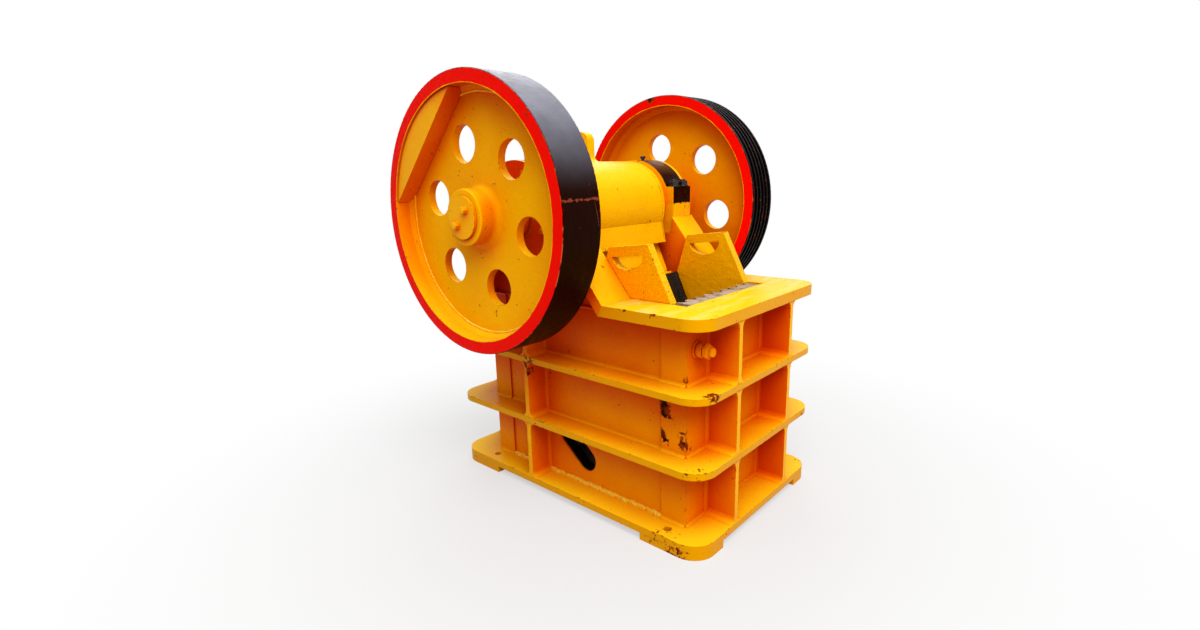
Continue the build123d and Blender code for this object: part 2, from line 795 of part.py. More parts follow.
def web_holes():
    """Ring of round holes about the shaft."""
    with Locations((shaft_y, shaft_z)):
        with PolarLocations(web_hole_circle, web_hole_count, start_angle=web_hole_angle):
            Circle(web_hole_radius)


with BuildPart() as flywheel:
    with BuildSketch(shaft_section):
        with BuildLine():
            wheel_section(-1, flywheel_web_middle)
        make_face()
    revolve(axis=shaft_axis)
    with BuildSketch(Plane.YZ.offset(-flywheel_web_middle - web_thickness)):
        web_holes()
    extrude(amount=2 * web_thickness, mode=Mode.SUBTRACT)
flywheel.part.label = "flywheel"
export_step(flywheel.part, "parts/flywheel.step")

with BuildPart() as belt_pulley:
    with BuildSketch(shaft_section):
        with BuildLine():
            wheel_section(1, pulley_web_middle)
        make_face()
        for groove_index in range(groove_count):
            groove_x = rim_inner_face + rim_width / 2 + (groove_index - (groove_count - 1) / 2) * groove_pitch
            with BuildLine():
                Polyline(
                    (groove_x - groove_top / 2, wheel_radius),
                    (groove_x - groove_bottom / 2, wheel_radius - groove_depth),
                    (groove_x + groove_bottom / 2, wheel_radius - groove_depth),
                    (groove_x + groove_top / 2, wheel_radius),
                    close=True,
                )
            make_face(mode=Mode.SUBTRACT)
    revolve(axis=shaft_axis)
    with BuildSketch(Plane.YZ.offset(pulley_web_middle - web_thickness)):
        web_holes()
    extrude(amount=2 * web_thickness, mode=Mode.SUBTRACT)
belt_pulley.part.label = "belt_pulley"
export_step(belt_pulley.part, "parts/belt_pulley.step")

# Counterweights in the outer recess of both wheels, opposite the eccentric
for side, name, web_middle in (
    (-1, "flywheel_counterweight", flywheel_web_middle),
    (1, "pulley_counterweight", pulley_web_middle),
):
    weight_foot = web_middle + web_thickness / 2
    weight_face = rim_outer_face - counterweight_inset
    weight_radius = rim_bore - counterweight_rim_gap
    with BuildPart() as counterweight:
        with BuildSketch(across(side, weight_foot, weight_face)):
            with Locations((shaft_y, shaft_z)):
                Circle(weight_radius)
                with PolarLocations(-counterweight_depth, 1, start_angle=eccentric_rest_angle - 180):
                    Rectangle(2 * weight_radius, 2 * weight_radius, mode=Mode.SUBTRACT)
        extrude(amount=weight_face - weight_foot)
        round_edges = counterweight.edges().filter_by(GeomType.CIRCLE)
        chamfer(round_edges.sort_by_distance((side * weight_foot, shaft_y, shaft_z))[0], rim_cove)
    counterweight.part.label = name
    export_step(counterweight.part, f"parts/{name}.step")

# Discs that hold the wheels on the ends of the shaft
with BuildPart() as shaft_end_discs:
    for side, hand in both_sides:
        with BuildSketch(across(side, hub_outer_face, hub_outer_face + end_disc_thickness)):
            with Locations((shaft_y, shaft_z)):
                Circle(end_disc_radius)
        extrude(amount=end_disc_thickness)
shaft_end_discs.part.label = "shaft_end_discs"
export_step(shaft_end_discs.part, "parts/shaft_end_discs.step")

# Swing jaw casting: head, body with pockets behind, toggle boss, rod ears and lifting lug
body_back = swing_plate_thickness + jaw_body_depth
body_bottom = swing_plate_length + jaw_foot_below_plate
head_down = (eccentric_y - face_top[0]) * down_y + (eccentric_z - face_top[1]) * down_z
with BuildPart() as swing_jaw:
    with BuildSketch(Plane.YZ.offset(-head_half_width)):
        with Locations((eccentric_y, eccentric_z)):
            Circle(head_radius)
    extrude(amount=2 * head_half_width)
    with BuildSketch(Plane.YZ.offset(-jaw_half_width)):
        with BuildLine():
            Polyline(
                jaw_point(body_bottom, swing_plate_thickness),
                jaw_point(body_bottom, body_back),
                jaw_point(head_down, body_back),
                jaw_point(head_down, swing_plate_thickness),
                close=True,
            )
        make_face()
        with BuildLine():
            Polyline(
                from_groove(0, boss_above_seat),
                from_groove(0, -boss_below_seat),
                from_groove(-boss_underside, -boss_below_seat),
                jaw_point(body_bottom, body_back),
                jaw_point(body_bottom, body_back - boss_root_sink),
                jaw_point(toggle_seat_down - boss_rise, body_back - boss_root_sink),
                jaw_point(toggle_seat_down - boss_rise, body_back),
                close=True,
            )
        make_face()
        with Locations(groove):
            Circle(groove_radius, mode=Mode.SUBTRACT)
    extrude(amount=2 * jaw_half_width)
    pocket_middle = jaw_point((pocket_top + pocket_bottom) / 2, body_back)
    pocket_plane = Plane(
        origin=(0, pocket_middle[0], pocket_middle[1]), x_dir=(1, 0, 0), z_dir=(0, back_y, back_z)
    )
    with BuildSketch(pocket_plane):
        with GridLocations(pocket_width + pocket_wall, 1, pocket_count, 1):
            RectangleRounded(pocket_width, pocket_bottom - pocket_top, pocket_corner)
    extrude(amount=-pocket_depth, mode=Mode.SUBTRACT)
    for side, hand in both_sides:
        with BuildSketch(across(side, ear_inner, ear_outer)):
            with BuildLine():
                Polyline(
                    jaw_point(body_bottom - ear_root_sink, swing_plate_thickness + ear_root_setback),
                    (pin_y - ear_radius, pin_z),
                    (pin_y + ear_radius, pin_z),
                    from_groove(-ear_root_forward, ear_root_sink - boss_below_seat),
                    jaw_point(toggle_seat_down, body_back - ear_root_sink),
                    close=True,
                )
            make_face()
            with Locations((pin_y, pin_z)):
                Circle(ear_radius)
        extrude(amount=ear_outer - ear_inner)
    with BuildSketch(Plane.YZ.offset(-ear_outer)):
        with Locations((pin_y, pin_z)):
            Circle(rod_pin_radius + fixing_gap)
    extrude(amount=2 * ear_outer, mode=Mode.SUBTRACT)
    lug_y = eccentric_y + lug_setback
    lug_round_z = eccentric_z + head_radius + lug_height - lug_radius
    with BuildSketch(Plane.YZ.offset(-lug_thickness / 2)) as lug_outline:
        with Locations((eccentric_y, eccentric_z)):
            Circle(head_radius)
        with Locations((lug_y, (eccentric_z + lug_round_z) / 2)):
            Rectangle(2 * lug_radius, lug_round_z - eccentric_z)
        lug_root = lug_outline.vertices().filter_by_position(Axis.Y, eccentric_z, lug_round_z - lug_radius)
        fillet(lug_root, lug_root_radius)
        with Locations((lug_y, lug_round_z)):
            Circle(lug_radius)
            Circle(lug_hole_radius, mode=Mode.SUBTRACT)
    extrude(amount=lug_thickness)
    with BuildSketch(Plane.YZ.offset(-head_half_width)):
        with Locations((eccentric_y, eccentric_z)):
            Circle(eccentric_radius + running_clearance)
    extrude(amount=2 * head_half_width, mode=Mode.SUBTRACT)
swing_jaw.part.label = "swing_jaw"
export_step(swing_jaw.part, "parts/swing_jaw.step")

# Rings on both ends of the swing jaw's head
with BuildPart() as jaw_end_rings:
    for side, hand in both_sides:
        with BuildSketch(across(side, head_half_width, head_half_width + end_ring_thickness)):
            with Locations((eccentric_y, eccentric_z)):
                Circle(end_ring_radius)
                Circle(eccentric_radius + open_pivot_clearance, mode=Mode.SUBTRACT)
        extrude(amount=end_ring_thickness)
jaw_end_rings.part.label = "jaw_end_rings"
export_step(jaw_end_rings.part, "parts/jaw_end_rings.step")

# Toothed plate on the swing jaw
with BuildPart() as swing_jaw_plate:
    face_plane = Plane(origin=(0, face_top[0], face_top[1]), x_dir=(1, 0, 0), z_dir=(0, down_y, down_z))
    with BuildSketch(face_plane):
        with BuildLine():
            outline = tooth_line(jaw_half_width, False)
            outline.append((jaw_half_width, -swing_plate_thickness))
            outline.append((-jaw_half_width, -swing_plate_thickness))
            Polyline(*outline, close=True)
        make_face()
    extrude(amount=swing_plate_length)
swing_jaw_plate.part.label = "swing_jaw_plate"
export_step(swing_jaw_plate.part, "parts/swing_jaw_plate.step")

# Low wedge bar on the top end of the swing plate, against the jaw's neck
with BuildPart() as jaw_wedge:
    with BuildSketch(Plane.YZ.offset(-wedge_half_width)):
        with BuildLine():
            Polyline(
                jaw_point(0, wedge_setback),
                jaw_point(0, swing_plate_thickness),
                jaw_point(-wedge_height, swing_plate_thickness),
                jaw_point(-wedge_front_height, wedge_setback),
                close=True,
            )
        make_face()
    extrude(amount=2 * wedge_half_width)
jaw_wedge.part.label = "jaw_wedge"
export_step(jaw_wedge.part, "parts/jaw_wedge.step")

# Guard plate that hangs in front of the jaw's neck
guard_top_z = shaft_z - guard_top_drop
guard_bottom_z = shaft_z - guard_bottom_drop
guard_top_y = eccentric_y - (head_radius**2 - (guard_top_z - eccentric_z) ** 2) ** 0.5
guard_bottom_y = guard_top_y - guard_lean
with BuildPart() as guard_plate:
    with BuildSketch(Plane.YZ.offset(-jaw_half_width)):
        with BuildLine():
            Polyline(
                (guard_top_y - guard_root_proud, guard_top_z),
                (guard_bottom_y, guard_bottom_z),
                (guard_bottom_y + guard_thickness, guard_bottom_z),
                (guard_top_y + guard_thickness, guard_top_z),
                close=True,
            )
        make_face()
        with Locations((eccentric_y, eccentric_z)):
            Circle(head_radius + fixing_gap, mode=Mode.SUBTRACT)
    extrude(amount=2 * jaw_half_width)
guard_plate.part.label = "guard_plate"
export_step(guard_plate.part, "parts/guard_plate.step")

# Pin of the tension rod in the swing jaw's ears
with BuildPart() as rod_pin:
    with BuildSketch(Plane.YZ.offset(-ear_outer - rod_pin_radius)):
        with Locations((pin_y, pin_z)):
            Circle(rod_pin_radius)
    extrude(amount=2 * (ear_outer + rod_pin_radius))
rod_pin.part.label = "rod_pin"
export_step(rod_pin.part, "parts/rod_pin.step")

# Toggle plate with rounded ends
with BuildPart() as toggle_plate:
    with BuildSketch(Plane.YZ.offset(-toggle_half_width)):
        with Locations(toggle_front, toggle_rear):
            Circle(toggle_end_radius)
        toggle_middle = ((toggle_front[0] + toggle_rear[0]) / 2, (toggle_front[1] + toggle_rear[1]) / 2)
        with Locations(toggle_middle):
            Rectangle(toggle_length, 2 * toggle_half_thickness, rotation=toggle_angle)
    extrude(amount=2 * toggle_half_width)
toggle_plate.part.label = "toggle_plate"
export_step(toggle_plate.part, "parts/toggle_plate.step")

# Block on the rear wall that holds the toggle plate's rear end
block_bottom = toggle_rear_height - block_below_seat
with BuildPart() as adjusting_block:
    with BuildSketch(Plane.YZ.offset(-side_inner + seat_gap)):
        with Locations((block_front + block_depth / 2, block_bottom + block_height / 2)):
            Rectangle(block_depth, block_height)
        with Locations(toggle_rear):
            Circle(toggle_end_radius + seat_gap, mode=Mode.SUBTRACT)
    extrude(amount=2 * (side_inner - seat_gap))
adjusting_block.part.label = "adjusting_block"
export_step(adjusting_block.part, "parts/adjusting_block.step")

# Shims between the block and the rear wall
with BuildPart() as adjusting_shims:
    with BuildSketch(Plane.YZ.offset(-shim_half_width)):
        with Locations((rear_inner - shim_stack / 2, screw_z)):
            Rectangle(shim_stack, shim_height)
    extrude(amount=2 * shim_half_width)
adjusting_shims.part.label = "adjusting_shims"
export_step(adjusting_shims.part, "parts/adjusting_shims.step")

# Screws through the rear wall that set the block
with BuildPart() as adjusting_screws:
    screw_places = ((-screw_spacing / 2, screw_z), (screw_spacing / 2, screw_z))
    with BuildSketch(Plane.XZ.offset(-rear_inner + shim_stack)):
        with Locations(*screw_places):
            Circle(screw_radius)
    extrude(amount=-(shim_stack + rear_wall_thickness + screw_length_outside))
    with BuildSketch(Plane.XZ.offset(-wall_rear)):
        with Locations(*screw_places):
            RegularPolygon(screw_nut_width / 2, 6, major_radius=False)
    extrude(amount=-screw_nut_height)
adjusting_screws.part.label = "adjusting_screws"
export_step(adjusting_screws.part, "parts/adjusting_screws.step")

# Tension rod with its eye, through the rear wall and the spring
spring_start = wall_rear + spring_seat_thickness
spring_end = spring_start + spring_length
nut_start = spring_end + spring_seat_thickness
with BuildPart() as tension_rod:
    with BuildSketch(Plane.YZ.offset(-rod_radius)):
        with Locations((rod_eye_y, rod_height)):
            Circle(rod_eye_radius + rod_eye_wall)
            Circle(rod_eye_radius, mode=Mode.SUBTRACT)
    extrude(amount=2 * rod_radius)
    rod_start = rod_eye_y + rod_eye_radius + rod_eye_wall / 2
    with BuildSketch(Plane.XZ.offset(-rod_start)):
        with Locations((0, rod_height)):
            Circle(rod_radius)
    extrude(amount=-(nut_start + rod_nut_height - rod_start))
tension_rod.part.label = "tension_rod"
export_step(tension_rod.part, "parts/tension_rod.step")

# Spring seats against the rear wall and under the nut
with BuildPart() as spring_seats:
    for seat_y in (wall_rear, spring_end):
        with BuildSketch(Plane.XZ.offset(-seat_y)):
            with Locations((0, rod_height)):
                Circle(spring_seat_radius)
                Circle(rod_radius + seat_gap, mode=Mode.SUBTRACT)
        extrude(amount=-spring_seat_thickness)
    with BuildSketch(Plane.XZ.offset(-nut_start)):
        with Locations((0, rod_height)):
            RegularPolygon(rod_nut_width / 2, 6, major_radius=False)
            Circle(rod_radius + seat_gap, mode=Mode.SUBTRACT)
    extrude(amount=-rod_nut_height)
spring_seats.part.label = "spring_seats"
export_step(spring_seats.part, "parts/spring_seats.step")

# Coil spring, its turns as rings on a thin sleeve
with BuildPart() as tension_spring:
    spring_section = Plane(origin=(0, 0, rod_height), x_dir=(0, 1, 0), z_dir=(1, 0, 0))
    turn_pitch = spring_length / spring_turns
    with BuildSketch(spring_section):
        with Locations(((spring_start + spring_end) / 2, spring_radius - spring_wire_radius)):
            Rectangle(spring_length, spring_wire_radius)
        for turn in range(spring_turns):
            with Locations((spring_start + (turn + 0.5) * turn_pitch, spring_radius - spring_wire_radius)):
                RegularPolygon(spring_wire_radius, spring_wire_sides)
    revolve(axis=Axis((0, 0, rod_height), (0, 1, 0)))
tension_spring.part.label = "tension_spring"
export_step(tension_spring.part, "parts/tension_spring.step")
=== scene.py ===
from math import cos, pi, radians, sin

import bmesh
import bpy
from mathutils import Matrix, Vector


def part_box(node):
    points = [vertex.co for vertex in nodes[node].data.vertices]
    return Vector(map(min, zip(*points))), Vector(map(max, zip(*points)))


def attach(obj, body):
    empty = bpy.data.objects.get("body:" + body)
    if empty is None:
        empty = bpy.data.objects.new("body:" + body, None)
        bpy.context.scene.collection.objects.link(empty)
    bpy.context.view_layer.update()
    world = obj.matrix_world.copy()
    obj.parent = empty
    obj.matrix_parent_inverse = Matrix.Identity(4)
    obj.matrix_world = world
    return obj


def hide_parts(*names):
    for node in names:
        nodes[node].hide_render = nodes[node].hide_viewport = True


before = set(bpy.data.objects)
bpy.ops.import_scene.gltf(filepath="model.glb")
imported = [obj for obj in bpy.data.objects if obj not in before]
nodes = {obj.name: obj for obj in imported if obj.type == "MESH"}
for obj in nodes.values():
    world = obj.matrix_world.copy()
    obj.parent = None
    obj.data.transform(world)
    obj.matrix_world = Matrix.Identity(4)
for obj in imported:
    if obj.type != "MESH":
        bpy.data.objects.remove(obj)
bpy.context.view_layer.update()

# Places on the machine, in metres, read from the frame
wheel_low, wheel_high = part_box("flywheel")
shaft_y = (wheel_low.y + wheel_high.y) / 2
shaft_z = (wheel_low.z + wheel_high.z) / 2
wheel_radius = (wheel_high.z - wheel_low.z) / 2
hub_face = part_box("shaft_end_discs")[1].x
end_wall_low, end_wall_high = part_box("front_wall")
rear_wall_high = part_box("rear_wall")[1]
side_wall_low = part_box("side_wall_left")[0]
base_low, base_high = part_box("base_flange")
lower_low, lower_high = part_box("lower_rib")
upper_low, upper_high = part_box("upper_rib")
top_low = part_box("top_plate")[0]
rear_top_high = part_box("rear_top_plate")[1]
front_ribs_low, front_ribs_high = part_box("front_ribs")
rear_ribs_low, rear_ribs_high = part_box("rear_ribs")
side_ribs_low, side_ribs_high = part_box("side_ribs")
cap_low, cap_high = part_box("bearing_cap_right")
head_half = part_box("swing_jaw")[1].x
wedge_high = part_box("jaw_wedge")[1]
wall_half = end_wall_high.x
pad_half = -side_wall_low.x
wall_front = end_wall_low.y
wall_rear = rear_wall_high.y

# Sizes that the frame's boxes don't give
rim_thickness = 0.040
rim_width = 0.144
rim_face = 0.564
rim_cove = 0.016
flywheel_web_face = 0.502
pulley_web_face = 0.515
front_pad = 0.088
rear_pad = 0.084
rib_thickness = 0.018
edge_setback = 0.002
cap_lug_top = shaft_z + 0.064
cap_lug_inset = 0.016
cover_thickness = 0.015
neck_lean = radians(24.7)

# Camera at the photograph's place: its height, bearing, dip and roll
camera_place = Vector((-1.639, -1.342, 1.080))
camera_bearing = 47.97
camera_dip = 13.07
camera_roll = -1.39
camera_lens = 18.146
camera_shift = (-0.00153, -0.00024)


def linear(hex_colour):
    """Linear colour of an sRGB hex value."""
    channels = [int(hex_colour[i:i + 2], 16) / 255 for i in (1, 3, 5)]
    return tuple(c / 12.92 if c <= 0.04045 else ((c + 0.055) / 1.055) ** 2.4 for c in channels) + (1.0,)


def add(tree, kind, inputs=None, **settings):
    """Adds a shader node of a kind to a material with its settings, and links or fills its inputs."""
    node = tree.nodes.new("ShaderNode" + kind)
    for name, value in settings.items():
        setattr(node, name, value)
    for name, value in (inputs or {}).items():
        if isinstance(value, bpy.types.NodeSocket):
            tree.links.new(value, node.inputs[name])
        else:
            node.inputs[name].default_value = value
    return node


def set_camera():
    """Camera at the photograph's viewing angle."""
    bearing, dip, roll = radians(camera_bearing), radians(camera_dip), radians(camera_roll)
    ahead = Vector((sin(bearing) * cos(dip), cos(bearing) * cos(dip), -sin(dip)))
    level = Vector((cos(bearing), -sin(bearing), 0))
    upward = level.cross(ahead)
    right = cos(roll) * level + sin(roll) * upward
    top = -sin(roll) * level + cos(roll) * upward
    camera = bpy.data.objects.new("camera", bpy.data.cameras.new("camera"))
    bpy.context.scene.collection.objects.link(camera)
    turn = Matrix((right, top, -ahead)).transposed().to_4x4()
    camera.matrix_world = Matrix.Translation(camera_place) @ turn
    camera.data.lens = camera_lens
    camera.data.shift_x, camera.data.shift_y = camera_shift
    camera.data.sensor_width = 36
    camera.data.sensor_fit = "HORIZONTAL"
    bpy.context.scene.camera = camera


set_camera()


# Modelling steps that the pieces share
def only(piece):
    """Selects one piece and makes it the active one."""
    bpy.ops.object.select_all(action="DESELECT")
    piece.select_set(True)
    bpy.context.view_layer.objects.active = piece


def fresh(name):
    """Takes the primitive just added as a piece of its own, selected alone, its place in its mesh."""
    piece = bpy.context.object
    piece.name = name
    piece.data.name = name
    only(piece)
    bpy.ops.object.transform_apply(location=True, rotation=True, scale=True)
    return piece


def choose(piece, kind, test):
    """In edit mode, selects only the corners, edges or faces all of whose corners pass a test."""
    bpy.ops.mesh.select_mode(type=kind)
    bpy.ops.mesh.select_all(action="DESELECT")
    shape = bmesh.from_edit_mesh(piece.data)
    items = {"VERT": shape.verts, "EDGE": shape.edges, "FACE": shape.faces}[kind]
    for item in items:
        corners = [item] if kind == "VERT" else item.verts
        if all(test(corner.co) for corner in corners):
            item.select_set(True)
    bmesh.update_edit_mesh(piece.data)


def edit(on=True):
    """Enters or leaves edit mode."""
    bpy.ops.object.mode_set(mode="EDIT" if on else "OBJECT")


def place(piece, where, turn):
    """Turns a piece, moves it to its place and leaves its object at the origin."""
    piece.matrix_world = Matrix.Translation(where) @ turn.to_4x4()
    only(piece)
    bpy.ops.object.transform_apply(location=True, rotation=True, scale=True)
    return piece


def seat(piece, where, axis=(0, 0, 1)):
    """Places a piece made along +Z so that it runs along an axis."""
    return place(piece, where, Vector((0, 0, 1)).rotation_difference(Vector(axis).normalized()).to_matrix())


def twin(piece):
    """Copy of a piece with its own mesh."""
    copy = piece.copy()
    copy.data = piece.data.copy()
    bpy.context.scene.collection.objects.link(copy)
    return copy


def join(pieces, name):
    """Joins pieces into one with a name."""
    only(pieces[0])
    for piece in pieces:
        piece.select_set(True)
    bpy.ops.object.join()
    pieces[0].name = name
    pieces[0].data.name = name
    return pieces[0]


def finish(piece, material, body, angle=35):
    """Gives a piece its finish, smooth shading and the body it rides on."""
    only(piece)
    bpy.ops.object.shade_smooth_by_angle(angle=radians(angle))
    piece.data.materials.clear()
    piece.data.materials.append(material)
    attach(piece, body)
    return piece


def drop(piece):
    """Removes a piece that served as a pattern for copies."""
    bpy.data.objects.remove(piece, do_unlink=True)


def turned(name, radius, height, edge, sides=24):
    """Round bar or disc along +Z from zero, its far edge rounded."""
    middle = (0, 0, height / 2)
    bpy.ops.mesh.primitive_cylinder_add(vertices=sides, radius=radius, depth=height, location=middle)
    piece = fresh(name)
    edit()
    choose(piece, "EDGE", lambda corner: corner.z > height - 1e-6)
    bpy.ops.mesh.bevel(offset=edge, segments=3, affect="EDGES")
    edit(False)
    return piece


def hexagon(name, width, height):
    """Hexagon nut or bolt head along +Z from zero, its far face chamfered and raised in the middle."""
    bpy.ops.mesh.primitive_cylinder_add(
        vertices=6, radius=width / 3 ** 0.5, depth=height, location=(0, 0, height / 2)
    )
    piece = fresh(name)
    edit()
    choose(piece, "EDGE", lambda corner: corner.z > height - 1e-6)
    bpy.ops.mesh.bevel(offset=0.07 * width, segments=2, affect="EDGES")
    choose(piece, "FACE", lambda corner: corner.z > height - 1e-6)
    bpy.ops.mesh.inset(thickness=0.05 * width)
    bpy.ops.transform.translate(value=(0, 0, 0.02 * width))
    edit(False)
    return piece


def lift(piece, height):
    """Raises a piece along Z in its mesh."""
    return place(piece, Vector((0, 0, height)), Matrix.Identity(3))


def block(name, low, high, edge):
    """Plate or block between two corners, all its edges rounded."""
    low, high = Vector(low), Vector(high)
    bpy.ops.mesh.primitive_cube_add(size=1, location=(low + high) / 2, scale=high - low)
    piece = fresh(name)
    edit()
    bpy.ops.mesh.select_all(action="SELECT")
    bpy.ops.mesh.bevel(offset=edge, segments=2, affect="EDGES")
    edit(False)
    return piece


# Welds
weld_lumps = bpy.data.textures.new("weld_lumps", "CLOUDS")
weld_lumps.noise_scale = 0.016
ripple_pitch = 0.007
hollow_profile = 0.086
fillet_toe = 0.0006


def bead(start, end, radius):
    """Weld bead along a corner: one ripple, repeated to the joint's length, then made uneven."""
    start, end = Vector(start), Vector(end)
    length = (end - start).length
    count = max(2, round(length / ripple_pitch))
    pitch = length / count
    bpy.ops.mesh.primitive_cylinder_add(
        vertices=8, radius=radius, depth=pitch, end_fill_type="NOTHING", location=(0, 0, pitch / 2)
    )
    piece = fresh("bead")
    edit()
    bpy.ops.mesh.select_all(action="SELECT")
    bpy.ops.mesh.bisect(plane_co=(0, 0, 0.6 * pitch), plane_no=(0, 0, 1))
    bpy.ops.transform.resize(value=(1.18, 1.18, 1))
    edit(False)
    row = piece.modifiers.new("row", "ARRAY")
    row.count = count
    row.use_relative_offset = False
    row.use_constant_offset = True
    row.constant_offset_displace = (0, 0, pitch)
    row.use_merge_vertices = True
    row.merge_threshold = 1e-5
    bpy.ops.object.modifier_apply(modifier="row")
    edit()
    for height in (0, length):
        choose(piece, "VERT", lambda corner: abs(corner.z - height) < 1e-5)
        bpy.ops.mesh.edge_face_add()
    edit(False)
    seat(piece, start, end - start)
    lumps = piece.modifiers.new("lumps", "DISPLACE")
    lumps.texture = weld_lumps
    lumps.texture_coords = "LOCAL"
    lumps.strength = 0.9 * radius
    lumps.mid_level = 0.5
    bpy.ops.object.modifier_apply(modifier="lumps")
    return piece


def fillet(start, end, first, second, leg):
    """Hollow fillet weld from one point to another, in the corner of two faces that run off two ways."""
    start, end, first, second = Vector(start), Vector(end), Vector(first), Vector(second)
    if first.cross(second).dot(end - start) < 0:
        start, end = end, start
    length = (end - start).length
    bpy.ops.mesh.primitive_cube_add(size=1, location=(leg / 2, leg / 2, length / 2), scale=(leg, leg, length))
    piece = fresh("fillet")
    edit()
    choose(piece, "EDGE", lambda corner: corner.x > leg - 1e-6 and corner.y > leg - 1e-6)
    bpy.ops.mesh.bevel(offset=leg - fillet_toe, segments=5, profile=hollow_profile, affect="EDGES")
    edit(False)
    return place(piece, start, Matrix((first, second, first.cross(second))).transposed())


# Scales of the finishes' patterns, each 1000 over the real size of one repeat in millimetres
paint_clouds = 1000 / 166.7
plate_waves = 1000 / 26.32
orange_peel = 1000 / 3.333
paint_flakes = 1000 / 11.76
chip_clusters = 1000 / 71.43
pit_cells = 1000 / 38.46
seam_gaps = 1000 / 25.0
bead_glints = 1000 / 6.667
plate_scuffs = (1000 / 142.9, 1000 / 33.33, 1000 / 33.33)
brush_wander = 1000 / 41.67
sheen_and_dust_smears = 1000 / 90.91
scratch_gaps = 1000 / 8.333
cap_wander = 1000 / 16.67
cap_grit = 1000 / 3.846
steel_film = 1000 / 33.33

# Sizes of the finishes, in metres
# Reach of the painted shade where the sky is hidden
painted_shade_reach = 0.35
# Reach of the painted shade in the joints
joint_shade_reach = 0.008
edge_round = 0.0018
steel_edge_round = 0.0012
chip_reach = 0.007
chip_depth = 0.0006
wave_height = 0.0020
peel_height = 0.0006


def painted_sky_shade_yellow(tree, position, normal, facing, depth, side_shade):
    """Painted light and shade: golden yellow, lighter where it faces up, then orange and red brown as painted
    shade where the sky is hidden, standing in for the light that thick yellow paint throws on itself.
    """
    skyward = add(tree, "VectorMath", {0: normal, 1: (0, 0, 1.1)}, operation="ADD").outputs[0]
    painted_light_level = add(
        tree, "AmbientOcclusion", {"Distance": painted_shade_reach, "Normal": skyward}, samples=8
    ).outputs["AO"]
    cloudy = add(tree, "TexNoise", {"Vector": position, "Scale": paint_clouds, "Detail": 4.0}).outputs[0]
    patchy = add(tree, "Math", {0: cloudy, 1: 0.16, 2: -0.08}, operation="MULTIPLY_ADD").outputs[0]
    painted_light_level = add(tree, "Math", {0: painted_light_level, 1: patchy}, operation="ADD").outputs[0]
    # Painted light: faces that look up are a lighter yellow
    up = add(
        tree, "MapRange", {0: facing.outputs["Z"], 1: 0.2, 2: 0.95}, interpolation_type="SMOOTHSTEP"
    ).outputs[0]
    sides = add(
        tree, "Mix", {0: cloudy, 6: linear("#f9ab00"), 7: linear("#ffc200")}, data_type="RGBA"
    ).outputs[2]
    colour = add(tree, "Mix", {0: up, 6: sides, 7: linear("#ffce12")}, data_type="RGBA").outputs[2]
    painted_light_level = add(tree, "Math", {0: up, 1: 0.17, 2: painted_light_level}, operation="MULTIPLY_ADD").outputs[0]
    # More painted shade on faces that look sideways
    aside = add(tree, "Math", {0: facing.outputs["X"]}, operation="ABSOLUTE").outputs[0]
    painted_light_level = add(tree, "Math", {0: aside, 1: -side_shade, 2: painted_light_level}, operation="MULTIPLY_ADD").outputs[0]
    depth = add(tree, "MapRange", {0: up, 3: depth, 4: 0.95 * depth}).outputs[0]
    # Painted shade tones, from orange to red brown, as less of the sky is seen
    shade_tones = ((0.82, 0.50, "#ee8000"), (0.52, 0.30, "#e04c00"), (0.30, 0.05, "#c42e00"))
    for open_at, closed_at, tone in shade_tones:
        share = add(tree, "MapRange", {0: painted_light_level, 1: open_at, 2: closed_at, 3: 0.0, 4: depth}).outputs[0]
        colour = add(tree, "Mix", {0: share, 6: colour, 7: linear(tone)}, data_type="RGBA").outputs[2]
    return colour


def worn_spots(tree, position, chance, spots):
    """Raises the chance of a chip near each named spot: its place, its reach and how hard it was knocked."""
    for spot, reach, force in spots:
        away = add(tree, "VectorMath", {0: position, 1: spot}, operation="DISTANCE").outputs["Value"]
        knock = add(tree, "MapRange", {0: away, 1: 0.35 * reach, 2: reach, 3: force, 4: 0.0}).outputs[0]
        chance = add(tree, "Math", {0: chance, 1: knock}, operation="ADD").outputs[0]
    return chance


